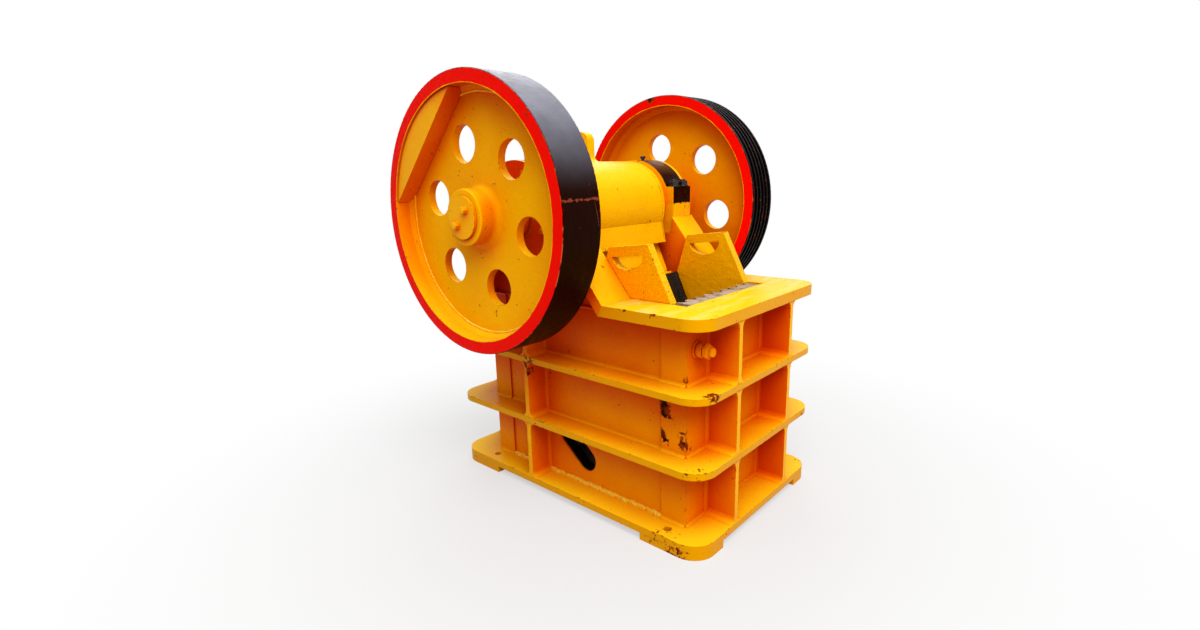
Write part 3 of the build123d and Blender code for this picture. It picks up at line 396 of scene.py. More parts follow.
def chips(tree, position, waves, spots, colour, relief, rough):
    """Chips along the edges and on the knocked spots, ringed by red primer, with small pits between them.

    Bare iron shows in them, dark or rusty, rougher than the enamel and a little lower.
    """
    flat = add(tree, "NewGeometry").outputs["Normal"]
    worn = add(tree, "Bevel", {"Radius": chip_reach}, samples=4).outputs[0]
    agree = add(tree, "VectorMath", {0: worn, 1: flat}, operation="DOT_PRODUCT").outputs["Value"]
    edge = add(tree, "MapRange", {0: agree, 1: 0.995, 2: 0.85, 3: 0.0, 4: 0.115}).outputs[0]
    breaks = {"Vector": position, "Scale": paint_flakes, "Detail": 5.0, "Roughness": 0.62}
    flakes = add(tree, "TexNoise", breaks).outputs[0]
    clusters = add(tree, "TexNoise", {"Vector": position, "Scale": chip_clusters, "Detail": 2.0}).outputs[0]
    chance = add(tree, "Math", {0: clusters, 1: 0.5, 2: -0.25}, operation="MULTIPLY_ADD").outputs[0]
    chance = add(tree, "Math", {0: chance, 1: flakes}, operation="ADD").outputs[0]
    chance = add(tree, "Math", {0: chance, 1: edge}, operation="ADD").outputs[0]
    chance = worn_spots(tree, position, chance, spots)
    cells = add(tree, "TexVoronoi", {"Vector": position, "Scale": pit_cells})
    cell = add(tree, "SeparateColor", {0: cells.outputs["Color"]}).outputs[0]
    size = add(tree, "MapRange", {0: cell, 1: 0.80, 2: 1.0, 3: 0.0, 4: 0.075}).outputs[0]
    pit = add(tree, "Math", {0: cells.outputs["Distance"], 1: size}, operation="LESS_THAN").outputs[0]
    bare = add(tree, "MapRange", {0: chance, 1: 0.765, 2: 0.775}).outputs[0]
    bare = add(tree, "Math", {0: bare, 1: pit}, operation="MAXIMUM").outputs[0]
    primer = add(tree, "MapRange", {0: chance, 1: 0.715, 2: 0.745, 3: 0.0, 4: 0.75}).outputs[0]
    ringed = add(tree, "Mix", {0: primer, 6: colour, 7: linear("#9a3408")}, data_type="RGBA").outputs[2]
    rusty = add(tree, "MapRange", {0: waves, 1: 0.38, 2: 0.52}).outputs[0]
    under = add(
        tree, "Mix", {0: rusty, 6: linear("#240c04"), 7: linear("#8a2f08")}, data_type="RGBA"
    ).outputs[2]
    colour = add(tree, "Mix", {0: bare, 6: ringed, 7: under}, data_type="RGBA").outputs[2]
    relief = add(
        tree, "Bump", {"Height": bare, "Distance": chip_depth, "Normal": relief}, invert=True
    ).outputs[0]
    rough = add(tree, "Mix", {0: bare, 2: rough, 3: 0.75}).outputs[0]
    return colour, relief, rough


def enamel(
    name, extra=None, spots=(), chipped=True, depth=1.0,
    cast=1.0, gloss=0.07, pitted=0.0, joint_shade=0.0, side_shade=0.0,
):
    """Sprayed alkyd enamel over rough plate and castings, glossy and uneven.

    extra recolours it for one piece, and spots are where it was knocked. depth is how far its painted shade
    goes to red brown where the sky is hidden, and side_shade how much more painted shade falls on faces that
    look sideways.
    cast is how rough the casting under it is, pitted how dusty its sand pits are, and joint_shade how dark
    the painted shade in the joints with its neighbours is.
    """
    material = bpy.data.materials.new(name)
    material.use_nodes = True
    tree = material.node_tree
    shader = tree.nodes["Principled BSDF"]
    coordinates = add(tree, "TexCoord")
    position = coordinates.outputs["Object"]
    facing = add(tree, "SeparateXYZ", {0: coordinates.outputs["Normal"]})
    colour = painted_sky_shade_yellow(tree, position, coordinates.outputs["Normal"], facing, depth, side_shade)
    peel = add(tree, "TexNoise", {"Vector": position, "Scale": orange_peel, "Detail": 2.0}).outputs[0]
    if pitted:
        # Dust in the sand pits of a casting and of flame-cut plate
        hollows = add(tree, "MapRange", {0: peel, 1: 0.48, 2: 0.40, 3: 0.0, 4: pitted}).outputs[0]
        colour = add(tree, "Mix", {0: hollows, 6: colour, 7: linear("#a45200")}, data_type="RGBA").outputs[2]
    if joint_shade:
        # Painted shade in the joint where the piece meets its neighbour, darker where a neighbour lies close
        crease = add(tree, "AmbientOcclusion", {"Distance": joint_shade_reach}, samples=8).outputs["AO"]
        joint_shade_share = add(tree, "MapRange", {0: crease, 1: 0.80, 2: 0.50, 3: 0.0, 4: joint_shade}).outputs[0]
        colour = add(tree, "Mix", {0: joint_shade_share, 6: colour, 7: linear("#4a2000")}, data_type="RGBA").outputs[2]
    if extra:
        colour = extra(tree, position, facing, colour)

    # Soft edges, over the waves of the rough plate and the orange peel of the spray
    rounded = add(tree, "Bevel", {"Radius": edge_round}, samples=4).outputs[0]
    waves = add(tree, "TexNoise", {"Vector": position, "Scale": plate_waves, "Detail": 3.0}).outputs[0]
    wavy = {"Height": waves, "Distance": wave_height * cast, "Strength": 0.6, "Normal": rounded}
    relief = add(tree, "Bump", wavy).outputs[0]
    peeled = {"Height": peel, "Distance": peel_height * cast, "Strength": 0.6, "Normal": relief}
    relief = add(tree, "Bump", peeled).outputs[0]
    rough = add(tree, "MapRange", {0: waves, 1: 0.3, 2: 0.7, 3: 0.26, 4: 0.40}).outputs[0]
    if chipped:
        colour, relief, rough = chips(tree, position, waves, spots, colour, relief, rough)
    tree.links.new(colour, shader.inputs["Base Color"])
    tree.links.new(relief, shader.inputs["Normal"])
    tree.links.new(rough, shader.inputs["Roughness"])
    shader.inputs["Specular IOR Level"].default_value = gloss
    shader.inputs["Specular Tint"].default_value = linear("#ffb02a")
    return material


def painted_shade_inside(tree, position, facing, yellow):
    """Painted shade: near black on what lies inside the walls and below the top plate, seen through the
    holes, where the box keeps the light out.
    """
    skin = 0.006
    middle = (0, -(wall_front + wall_rear) / 2, 0)
    reach = (wall_half - skin, (wall_rear - wall_front) / 2 - skin, 1)
    aside = add(tree, "VectorMath", {0: position, 1: middle}, operation="ADD").outputs[0]
    aside = add(tree, "VectorMath", {0: aside}, operation="ABSOLUTE").outputs[0]
    aside = add(tree, "VectorMath", {0: aside, 1: reach}, operation="SUBTRACT").outputs[0]
    aside = add(tree, "SeparateXYZ", {0: aside})
    outer = add(tree, "Math", {0: aside.outputs["X"], 1: aside.outputs["Y"]}, operation="MAXIMUM").outputs[0]
    height = add(tree, "SeparateXYZ", {0: position}).outputs["Z"]
    above = add(tree, "Math", {0: height, 1: top_low.z - 0.001}, operation="SUBTRACT").outputs[0]
    outer = add(tree, "Math", {0: outer, 1: above}, operation="MAXIMUM").outputs[0]
    inside = add(tree, "Math", {0: outer, 1: 0.0}, operation="LESS_THAN").outputs[0]
    return add(tree, "Mix", {0: inside, 6: yellow, 7: linear("#120a05")}, data_type="RGBA").outputs[2]


def painted_web_bounce(tree, position, facing, yellow):
    """Painted bounce light: deep orange on the covers' outer faces, standing in for the light that the
    wheel's yellow web throws back.
    """
    outward = add(tree, "Math", {0: facing.outputs["X"]}, operation="ABSOLUTE").outputs[0]
    share = add(tree, "MapRange", {0: outward, 1: 0.5, 2: 0.8, 3: 0.0, 4: 0.8}).outputs[0]
    return add(tree, "Mix", {0: share, 6: yellow, 7: linear("#ff4600")}, data_type="RGBA").outputs[2]


def end_seams(tree, position, facing, yellow):
    """Dark seam round each end of the jaw's head, where the seal ring meets it."""
    seam_place = head_half - 0.012
    seam_half_width = 0.0012
    seam_foot = wedge_high.z + 0.05
    across = add(tree, "SeparateXYZ", {0: position})
    end = add(tree, "Math", {0: across.outputs["X"]}, operation="ABSOLUTE").outputs[0]
    away = add(tree, "Math", {0: end, 1: seam_place}, operation="SUBTRACT").outputs[0]
    away = add(tree, "Math", {0: away}, operation="ABSOLUTE").outputs[0]
    broken = add(tree, "TexNoise", {"Vector": position, "Scale": seam_gaps, "Detail": 3.0}).outputs[0]
    width = add(tree, "MapRange", {0: broken, 1: 0.35, 2: 0.55, 3: 0.0, 4: seam_half_width}).outputs[0]
    seam = add(tree, "Math", {0: away, 1: width}, operation="LESS_THAN").outputs[0]
    high = add(tree, "Math", {0: across.outputs["Z"], 1: seam_foot}, operation="GREATER_THAN").outputs[0]
    seam = add(tree, "Math", {0: seam, 1: high}, operation="MULTIPLY").outputs[0]
    return add(tree, "Mix", {0: seam, 6: yellow, 7: linear("#6a3404")}, data_type="RGBA").outputs[2]


def painted_ripple_glints(tree, position, facing, yellow):
    """Painted glints: pale colour where light would catch the thick enamel over the ripples of a bead, fewer
    of them near the shaft.
    """
    glints = add(tree, "TexNoise", {"Vector": position, "Scale": bead_glints, "Detail": 3.0}).outputs[0]
    height = add(tree, "SeparateXYZ", {0: position}).outputs["Z"]
    most = add(
        tree, "MapRange", {0: height, 1: shaft_z - 0.30, 2: shaft_z + 0.05, 3: 0.70, 4: 0.12}
    ).outputs[0]
    share = add(tree, "MapRange", {0: glints, 1: 0.46, 2: 0.60, 3: 0.0, 4: most}).outputs[0]
    return add(tree, "Mix", {0: share, 6: yellow, 7: linear("#ffdc5c")}, data_type="RGBA").outputs[2]


def painted_edge_shade(tree, facing, yellow):
    """Painted shade: duller yellow on the upright cut edges of the thick plates, darker than their faces as
    the light falls.
    """
    slope = add(tree, "Math", {0: facing.outputs["Z"]}, operation="ABSOLUTE").outputs[0]
    share = add(tree, "MapRange", {0: slope, 1: 0.2, 2: 0.6, 3: 0.7, 4: 0.0}).outputs[0]
    return add(tree, "Mix", {0: share, 6: yellow, 7: linear("#dd9200")}, data_type="RGBA").outputs[2]


def flange_colours(tree, position, facing, yellow):
    """Painted shade on the flanges' upright cut edges, and painted shade on what lies inside the walls."""
    return painted_shade_inside(tree, position, facing, painted_edge_shade(tree, facing, yellow))


def dusty_plate(tree, position, facing, yellow):
    """Whitish scuffs along the top plate, where rock and boots have rubbed the enamel, and painted shade on
    its upright cut edges.
    """
    yellow = painted_edge_shade(tree, facing, yellow)
    drawn = add(tree, "VectorMath", {0: position, 1: plate_scuffs}, operation="MULTIPLY").outputs[0]
    scuffing = {"Vector": drawn, "Scale": 1.0, "Detail": 5.0, "Roughness": 0.6}
    scuffs = add(tree, "TexNoise", scuffing).outputs[0]
    rubbed = add(tree, "MapRange", {0: scuffs, 1: 0.50, 2: 0.72, 3: 0.0, 4: 0.75}).outputs[0]
    level = add(tree, "Math", {0: facing.outputs["Z"], 1: 0.9}, operation="GREATER_THAN").outputs[0]
    share = add(tree, "Math", {0: rubbed, 1: level}, operation="MULTIPLY").outputs[0]
    return add(tree, "Mix", {0: share, 6: yellow, 7: linear("#ffdf8c")}, data_type="RGBA").outputs[2]


def tread_scratches(tree, position, facing):
    """Two scratches on the front of the tread, one level and one steep, thin and short."""
    level_height = shaft_z + 0.052
    level_half_width = 0.0055
    steep_place = 0.433
    steep_slope = 0.2
    steep_height = shaft_z + 0.013
    steep_half_length = 0.034
    steep_thinness = 0.3
    along = add(tree, "SeparateXYZ", {0: position}).outputs["Z"]
    broken = add(tree, "TexNoise", {"Vector": position, "Scale": scratch_gaps, "Detail": 3.0}).outputs[0]
    width = add(tree, "MapRange", {0: broken, 1: 0.35, 2: 0.65, 3: 0.0, 4: level_half_width}).outputs[0]
    off = add(tree, "Math", {0: along, 1: level_height}, operation="SUBTRACT").outputs[0]
    off = add(tree, "Math", {0: off}, operation="ABSOLUTE").outputs[0]
    level = add(tree, "Math", {0: off, 1: width}, operation="LESS_THAN").outputs[0]
    slant = add(
        tree, "VectorMath", {0: position, 1: (1.0, 0.0, steep_slope)}, operation="DOT_PRODUCT"
    ).outputs["Value"]
    slant = add(tree, "Math", {0: slant, 1: steep_place - steep_slope * shaft_z}, operation="ADD").outputs[0]
    slant = add(tree, "Math", {0: slant}, operation="ABSOLUTE").outputs[0]
    thin = add(tree, "Math", {0: width, 1: steep_thinness}, operation="MULTIPLY").outputs[0]
    steep = add(tree, "Math", {0: slant, 1: thin}, operation="LESS_THAN").outputs[0]
    off = add(tree, "Math", {0: along, 1: steep_height}, operation="SUBTRACT").outputs[0]
    off = add(tree, "Math", {0: off}, operation="ABSOLUTE").outputs[0]
    short = add(tree, "Math", {0: off, 1: steep_half_length}, operation="LESS_THAN").outputs[0]
    steep = add(tree, "Math", {0: steep, 1: short}, operation="MULTIPLY").outputs[0]
    both = add(tree, "Math", {0: level, 1: steep}, operation="MAXIMUM").outputs[0]
    front = add(tree, "Math", {0: facing.outputs["Y"], 1: -0.8}, operation="LESS_THAN").outputs[0]
    return add(tree, "Math", {0: both, 1: front}, operation="MULTIPLY").outputs[0]


def tread_black(tree, position, facing):
    """Gloss black over red, scratched on the near wheel, with a painted blue grey sky reflection, smeared
    with dust, where it faces up.

    The near wheel's black is a warm one, and on the pulley's grooves the painted reflection is kept faint.
    """
    across = add(tree, "SeparateXYZ", {0: position}).outputs["X"]
    near = add(tree, "Math", {0: across, 1: 0.0}, operation="LESS_THAN").outputs[0]
    # Painted sky reflection, with smears of dust, on the tread where it faces up
    sky_sheen_and_dust = add(
        tree, "MapRange", {0: facing.outputs["Z"], 1: 0.15, 2: 0.82}, interpolation_type="SMOOTHSTEP"
    ).outputs[0]
    smears = add(tree, "TexNoise", {"Vector": position, "Scale": sheen_and_dust_smears, "Detail": 5.0}).outputs[0]
    smears = add(tree, "MapRange", {0: smears, 1: 0.25, 2: 0.75, 3: 0.75, 4: 1.15}).outputs[0]
    sky_sheen_and_dust = add(tree, "Math", {0: sky_sheen_and_dust, 1: smears}, operation="MULTIPLY").outputs[0]
    kept = add(tree, "MapRange", {0: near, 3: 0.12, 4: 1.0}).outputs[0]
    sky_sheen_and_dust = add(tree, "Math", {0: sky_sheen_and_dust, 1: kept}, operation="MULTIPLY").outputs[0]
    black = add(
        tree, "Mix", {0: near, 6: linear("#040304"), 7: linear("#190402")}, data_type="RGBA"
    ).outputs[2]
    # Blue grey painted reflection of the sky over the black
    film = add(tree, "Mix", {0: sky_sheen_and_dust, 6: black, 7: linear("#7a7b86")}, data_type="RGBA").outputs[2]
    scratch = tread_scratches(tree, position, facing)
    scratch = add(tree, "Math", {0: scratch, 1: near}, operation="MULTIPLY").outputs[0]
    return add(tree, "Mix", {0: scratch, 6: film, 7: linear("#7c3320")}, data_type="RGBA").outputs[2]


def wheel_colours(tree, position, facing, yellow):
    """Red on the rim's faces, black on its tread and in its grooves, with brushed borders and a worn lip."""
    bore = wheel_radius - rim_thickness
    ring_margin = 0.002
    black_margin = 0.0012
    lip_width = 0.0025
    centred = (0, -shaft_y, -shaft_z)
    from_shaft = add(tree, "VectorMath", {0: position, 1: centred}, operation="ADD").outputs[0]
    across = add(tree, "VectorMath", {0: from_shaft, 1: (0, 1, 1)}, operation="MULTIPLY").outputs[0]
    out = add(tree, "VectorMath", {0: across}, operation="LENGTH").outputs["Value"]
    wander = add(tree, "TexNoise", {"Vector": position, "Scale": brush_wander, "Detail": 3.0}).outputs[0]
    shake = add(tree, "Math", {0: wander, 1: 0.005, 2: -0.0025}, operation="MULTIPLY_ADD").outputs[0]
    border = add(tree, "Math", {0: out, 1: shake}, operation="ADD").outputs[0]
    along = add(tree, "SeparateXYZ", {0: position}).outputs["X"]
    aside = add(tree, "Math", {0: along}, operation="ABSOLUTE").outputs[0]
    off = add(tree, "Math", {0: aside, 1: rim_face - rim_width / 2}, operation="SUBTRACT").outputs[0]
    off = add(tree, "Math", {0: off}, operation="ABSOLUTE").outputs[0]
    between = add(tree, "Math", {0: off, 1: rim_width / 2 - black_margin}, operation="LESS_THAN").outputs[0]
    ring = add(tree, "Math", {0: border, 1: bore + ring_margin}, operation="GREATER_THAN").outputs[0]
    tread = add(tree, "Math", {0: out, 1: bore + 0.5 * rim_thickness}, operation="GREATER_THAN").outputs[0]
    tread = add(tree, "Math", {0: tread, 1: between}, operation="MULTIPLY").outputs[0]
    lip = add(tree, "Math", {0: border, 1: wheel_radius - lip_width}, operation="GREATER_THAN").outputs[0]
    red = add(tree, "Mix", {0: ring, 6: yellow, 7: linear("#f20a00")}, data_type="RGBA").outputs[2]
    faded = add(tree, "MapRange", {0: wander, 1: 0.50, 2: 0.60}).outputs[0]
    worn_lip = add(
        tree, "Mix", {0: faded, 6: linear("#120705"), 7: linear("#c8512a")}, data_type="RGBA"
    ).outputs[2]
    faces = add(tree, "Mix", {0: lip, 6: red, 7: worn_lip}, data_type="RGBA").outputs[2]
    black = tread_black(tree, position, facing)
    return add(tree, "Mix", {0: tread, 6: faces, 7: black}, data_type="RGBA").outputs[2]


def cap_colours(tree, position, facing, yellow):
    """Brown black over the cap with dust on its crest, yellow on its end faces and below a ragged border."""
    border_height = shaft_z + 0.0105
    inward = add(tree, "Math", {0: facing.outputs["X"]}, operation="ABSOLUTE").outputs[0]
    inner = add(tree, "Math", {0: inward, 1: 0.7}, operation="GREATER_THAN").outputs[0]
    wander = add(tree, "TexNoise", {"Vector": position, "Scale": cap_wander, "Detail": 3.0}).outputs[0]
    height = add(tree, "SeparateXYZ", {0: position}).outputs["Z"]
    ragged = add(tree, "Math", {0: wander, 1: 0.016, 2: height}, operation="MULTIPLY_ADD").outputs[0]
    below = add(tree, "Math", {0: ragged, 1: border_height}, operation="LESS_THAN").outputs[0]
    inner = add(tree, "Math", {0: inner, 1: below}, operation="MAXIMUM").outputs[0]
    crest = add(
        tree, "MapRange", {0: facing.outputs["Z"], 1: 0.6, 2: 0.95}, interpolation_type="SMOOTHSTEP"
    ).outputs[0]
    gritty = {"Vector": position, "Scale": cap_grit, "Detail": 4.0, "Roughness": 0.7}
    speckle = add(tree, "TexNoise", gritty).outputs[0]
    grit = add(tree, "MapRange", {0: speckle, 1: 0.42, 2: 0.62}).outputs[0]
    dust = add(
        tree, "Mix", {0: grit, 6: linear("#3d2213"), 7: linear("#7d5636")}, data_type="RGBA"
    ).outputs[2]
    top = add(tree, "Mix", {0: crest, 6: linear("#170403"), 7: dust}, data_type="RGBA").outputs[2]
    return add(tree, "Mix", {0: inner, 6: top, 7: yellow}, data_type="RGBA").outputs[2]


def metal(name, colour, patch_colour, rough, grain_mm, metallic=1.0, specular=0.5):
    """Steel or black paint with a patchy film: two tones, a grain of a given size and uneven roughness."""
    material = bpy.data.materials.new(name)
    material.use_nodes = True
    tree = material.node_tree
    shader = tree.nodes["Principled BSDF"]
    position = add(tree, "TexCoord").outputs["Object"]
    film = {"Vector": position, "Scale": steel_film, "Detail": 6.0, "Roughness": 0.6}
    patches = add(tree, "TexNoise", film).outputs[0]
    amount = add(tree, "MapRange", {0: patches, 1: 0.42, 2: 0.62}).outputs[0]
    both = add(
        tree, "Mix", {0: amount, 6: linear(colour), 7: linear(patch_colour)}, data_type="RGBA"
    ).outputs[2]
    tree.links.new(both, shader.inputs["Base Color"])
    grain = add(tree, "TexNoise", {"Vector": position, "Scale": 1000 / grain_mm, "Detail": 3.0}).outputs[0]
    rounded = add(tree, "Bevel", {"Radius": steel_edge_round}, samples=4).outputs[0]
    raised = {"Height": grain, "Distance": 0.0003 * grain_mm, "Strength": 0.6, "Normal": rounded}
    relief = add(tree, "Bump", raised).outputs[0]
    tree.links.new(relief, shader.inputs["Normal"])
    sheen = add(tree, "MapRange", {0: grain, 1: 0.3, 2: 0.7, 3: rough - 0.08, 4: rough + 0.12}).outputs[0]
    tree.links.new(sheen, shader.inputs["Roughness"])
    shader.inputs["Metallic"].default_value = metallic
    shader.inputs["Specular IOR Level"].default_value = specular
    return material


# Knocked spots on the frame and on the wheels: place, reach and force
frame_spots = (
    ((-0.281, -0.350, 0.432), 0.030, 0.22),
    ((-0.281, -0.354, 0.412), 0.030, 0.23),
    ((-0.281, -0.352, 0.392), 0.030, 0.22),
    ((-0.281, -0.372, 0.392), 0.026, 0.20),
    ((-0.281, -0.390, 0.372), 0.022, 0.18),
    ((-0.281, -0.350, 0.330), 0.020, 0.24),
    ((-0.281, -0.352, 0.312), 0.024, 0.24),
    ((-0.281, -0.420, 0.340), 0.022, 0.18),
    ((-0.281, -0.424, 0.305), 0.022, 0.20),
    ((-0.281, -0.372, 0.300), 0.022, 0.17),
    ((-0.281, -0.425, 0.300), 0.040, 0.14),
    ((-0.281, -0.432, 0.505), 0.022, 0.26),
    ((-0.276, -0.513, 0.488), 0.045, 0.14),
    ((-0.410, -0.537, 0.490), 0.020, 0.26),
    ((-0.300, -0.530, 0.488), 0.030, 0.16),
    ((-0.335, -0.516, 0.270), 0.050, 0.14),
    ((-0.250, -0.488, 0.270), 0.030, 0.15),
    ((-0.362, -0.272, 0.707), 0.016, 0.21),
    ((-0.362, -0.374, 0.707), 0.016, 0.21),
    ((-0.362, 0.160, 0.480), 0.060, 0.15),
    ((-0.362, 0.151, 0.435), 0.035, 0.19),
    ((-0.281, 0.135, 0.410), 0.030, 0.16),
    ((-0.362, -0.400, 0.012), 0.080, 0.14),
    ((-0.362, -0.455, 0.012), 0.050, 0.17),
    ((0.277, -0.537, 0.262), 0.020, 0.23),
    ((0.329, -0.518, 0.046), 0.060, 0.13),
)
wheel_spots = (
    ((-0.502, 0.089, 1.054), 0.020, 0.15),
    ((-0.502, 0.220, 1.140), 0.035, 0.12),
    ((-0.564, -0.131, 1.238), 0.018, 0.16),
    ((-0.564, -0.169, 1.192), 0.014, 0.16),
    ((-0.564, -0.232, 1.100), 0.018, 0.16),
    ((0.420, 0.223, 1.372), 0.032, 0.40),
)

# Frame: enamel over rolled and flame-cut plate, with long waves, soft edges and knocked corners, painted
# shade inside the walls and more painted shade on its sideways faces
frame_enamel = enamel("frame_enamel", painted_shade_inside, frame_spots, side_shade=0.07)
# Flanges: the same, with painted shade on their cut edges, and less painted shade, so yellower, on the base,
# which lies in the open
flange_enamel = enamel("flange_enamel", flange_colours, frame_spots)
base_enamel = enamel("base_enamel", flange_colours, frame_spots, depth=0.65)
# Top plate: rubbed pale along the feed opening, with painted shade on its cut edges
plate_enamel = enamel("top_plate_enamel", dusty_plate, frame_spots)
# Jaw head, guard plate and bearing seats: enamel over a sand casting, dimpled, with painted shade in its
# joints
head_enamel = enamel("jaw_head_enamel", end_seams, depth=0.25, cast=1.6, pitted=0.25, joint_shade=0.4)
# Cheek plates: enamel over coarse castings, pitted all over, with painted shade in their joints
cheek_enamel = enamel("cheek_enamel", depth=0.25, cast=3.0, pitted=0.6, joint_shade=0.7)
# Welds: thick enamel that lies soft in the corners and doesn't chip, with painted glints on the ripples of a
# bead
weld_enamel = enamel("weld_enamel", chipped=False, depth=0.95)
bead_enamel = enamel("bead_enamel", painted_ripple_glints, chipped=False, depth=0.4, gloss=0.4)
# Wheels: enamel over grey iron, yellow inside, red on the rim's faces and black on the tread
wheel_enamel = enamel(
    "wheel_enamel", wheel_colours, wheel_spots, depth=0.75, cast=1.6, gloss=0.03, pitted=0.12, joint_shade=0.5,
)
# Bearing caps and covers: yellow castings, the caps brushed over in brown black, the covers with painted deep
# orange bounce light from the wheel's web
cap_enamel = enamel("cap_enamel", cap_colours, depth=0.6, cast=1.6)
cover_enamel = enamel("bearing_cover_enamel", painted_web_bounce, depth=0.35, joint_shade=0.5)
# Gloss black enamel on nuts and cups: near black, with sharp glints
black_enamel = metal(
    "black_gloss_enamel", "#0a0706", "#1c130e", rough=0.22, grain_mm=3.0, metallic=0.0, specular=0.4
)
# Ground steel: bright and fine in grain, under a haze of oil
bright_steel = metal("ground_shaft_steel", "#a9a6a1", "#8d8780", rough=0.28, grain_mm=0.8)
# Oiled black steel: brown black, with a soft sheen
dark_steel = metal("oiled_black_steel", "#2e2a27", "#4a3a2c", rough=0.42, grain_mm=1.5, metallic=0.7)
# Bare manganese casting: pale brown grey, coarse and dull
bare_casting = metal(
    "bare_manganese_casting", "#b3a391", "#8a735c", rough=0.55, grain_mm=3.0, metallic=0.2, specular=0.3
)
# Black paint over a coarse casting: black brown, with broad soft glints
black_casting = metal(
    "black_painted_casting", "#0a0403", "#1a0d06", rough=0.26, grain_mm=4.0, metallic=0.0, specular=0.25
)

finishes = (
    (plate_enamel, ("top_plate", "rear_top_plate")),
    (head_enamel, ("swing_jaw", "guard_plate", "jaw_end_rings", "bearing_seat_left", "bearing_seat_right")),
    (cheek_enamel, ("cheek_plate_left", "cheek_plate_right")),
    (wheel_enamel, ("flywheel", "belt_pulley")),
    (base_enamel, ("base_flange", "feet")),
    (flange_enamel, ("lower_rib", "upper_rib")),
    (cover_enamel, ("bearing_covers",)),
    (cap_enamel, ("bearing_cap_left", "bearing_cap_right")),
    (black_enamel, ("oil_cups",)),
    (bright_steel, ("main_bearings", "eccentric_shaft")),
    (bare_casting, ("fixed_jaw_plate", "adjusting_shims")),
    (black_casting, ("swing_jaw_plate",)),
    (dark_steel, ("adjusting_screws", "tension_rod", "spring_seats", "tension_spring", "rod_pin")),
)
for name, cad in nodes.items():
    cad.data.materials.clear()
    cad.data.materials.append(next((coat for coat, names in finishes if name in names), frame_enamel))

# Bolts of the bearing caps: two broad flat black nuts on each lug
nut_width = 0.036
nut_height = 0.016
washer_height = 0.004
inner_nut_inset = 0.024
outer_nut_inset = 0.028
cap_nut = join([
    turned("washer", radius=0.6 * nut_width, height=washer_height, edge=0.001),
    lift(hexagon("nut", nut_width, nut_height), washer_height),
    lift(turned("stud", radius=0.011, height=0.010, edge=0.002, sides=16), nut_height),
], "cap_nut")
cap_nuts = []
for side in (-1, 1):
    for lug_y in (cap_low.y + cap_lug_inset, cap_high.y - cap_lug_inset):
        for out in (cap_low.x + inner_nut_inset, cap_high.x - outer_nut_inset):
            cap_nuts.append(seat(twin(cap_nut), (side * out, lug_y, cap_lug_top)))
drop(cap_nut)
finish(join(cap_nuts, "cap_nuts"), black_enamel, "frame")


def bolt_head(name, width):
    """Washer and hexagon head along +Z from zero."""
    washer = turned(name + "_washer", radius=0.62 * width, height=0.1 * width, edge=0.03 * width)
    return join([hexagon(name + "_head", width, height=0.7 * width), washer], name)


# Bolts round the bearing covers
cover_bolt = bolt_head("cover_bolt", width=0.018)
cover_bolts = []
cover_bolt_count = 8
cover_circle = 0.134
cover_face = cap_high.x + cover_thickness
for side in (-1, 1):
    for step in range(cover_bolt_count):
        turn = radians((step + 0.5) * 360 / cover_bolt_count)
        where = (side * cover_face, shaft_y + cover_circle * cos(turn), shaft_z + cover_circle * sin(turn))
        cover_bolts.append(seat(twin(cover_bolt), where, (side, 0, 0)))
drop(cover_bolt)
finish(join(cover_bolts, "cover_bolts"), head_enamel, "frame")

# Two bolts in each end disc of the shaft
disc_bolt = bolt_head("disc_bolt", width=0.019)
disc_bolts = []
disc_circle = 0.032
for side in (-1, 1):
    for turn in (134, -46):
        out_y, out_z = disc_circle * cos(radians(turn)), disc_circle * sin(radians(turn))
        where = (side * hub_face, shaft_y + out_y, shaft_z + out_z)
        disc_bolts.append(seat(twin(disc_bolt), where, (side, 0, 0)))
drop(disc_bolt)
finish(join(disc_bolts, "disc_bolts"), weld_enamel, "rotor")


def front_wall_studs():
    """Washer, thick collar, nut and rounded end on both studs of the front wall."""
    low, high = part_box("front_studs")
    reach = high.y - low.y
    washer_radius = (high.z - low.z) / 2
    studs = []
    for out in (low.x + washer_radius, high.x - washer_radius):
        stack = join([
            turned("washer", radius=washer_radius + 0.002, height=0.006, edge=0.0015, sides=32),
            turned("shank", radius=0.017, height=0.034, edge=0.001, sides=24),
            lift(turned("collar", radius=0.022, height=0.017, edge=0.002, sides=32), 0.010),
            lift(hexagon("nut", width=0.040, height=0.014), 0.031),
            turned("end", radius=0.014, height=reach + 0.006, edge=0.005, sides=20),
        ], "stud")
        studs.append(seat(stack, (out, high.y, (low.z + high.z) / 2), (0, -1, 0)))
    finish(join(studs, "wall_studs"), weld_enamel, "frame")
    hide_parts("front_studs")


front_wall_studs()


def neck_pad():
    """Thin pad on the front of the jaw's neck, under the same enamel, leaning with it."""
    half_width, foot, rise, thickness = 0.148, 0.038, 0.049, 0.0025
    sunk, edge = 0.002, 0.0012
    neck_root = Vector((0, wedge_high.y, wedge_high.z - 0.0136))
    pad = block("neck_pad", (-half_width, -thickness, foot), (half_width, sunk, foot + rise), edge)
    place(pad, neck_root, Matrix.Rotation(-neck_lean, 3, "X"))
    finish(pad, head_enamel, "swing_jaw")


neck_pad()

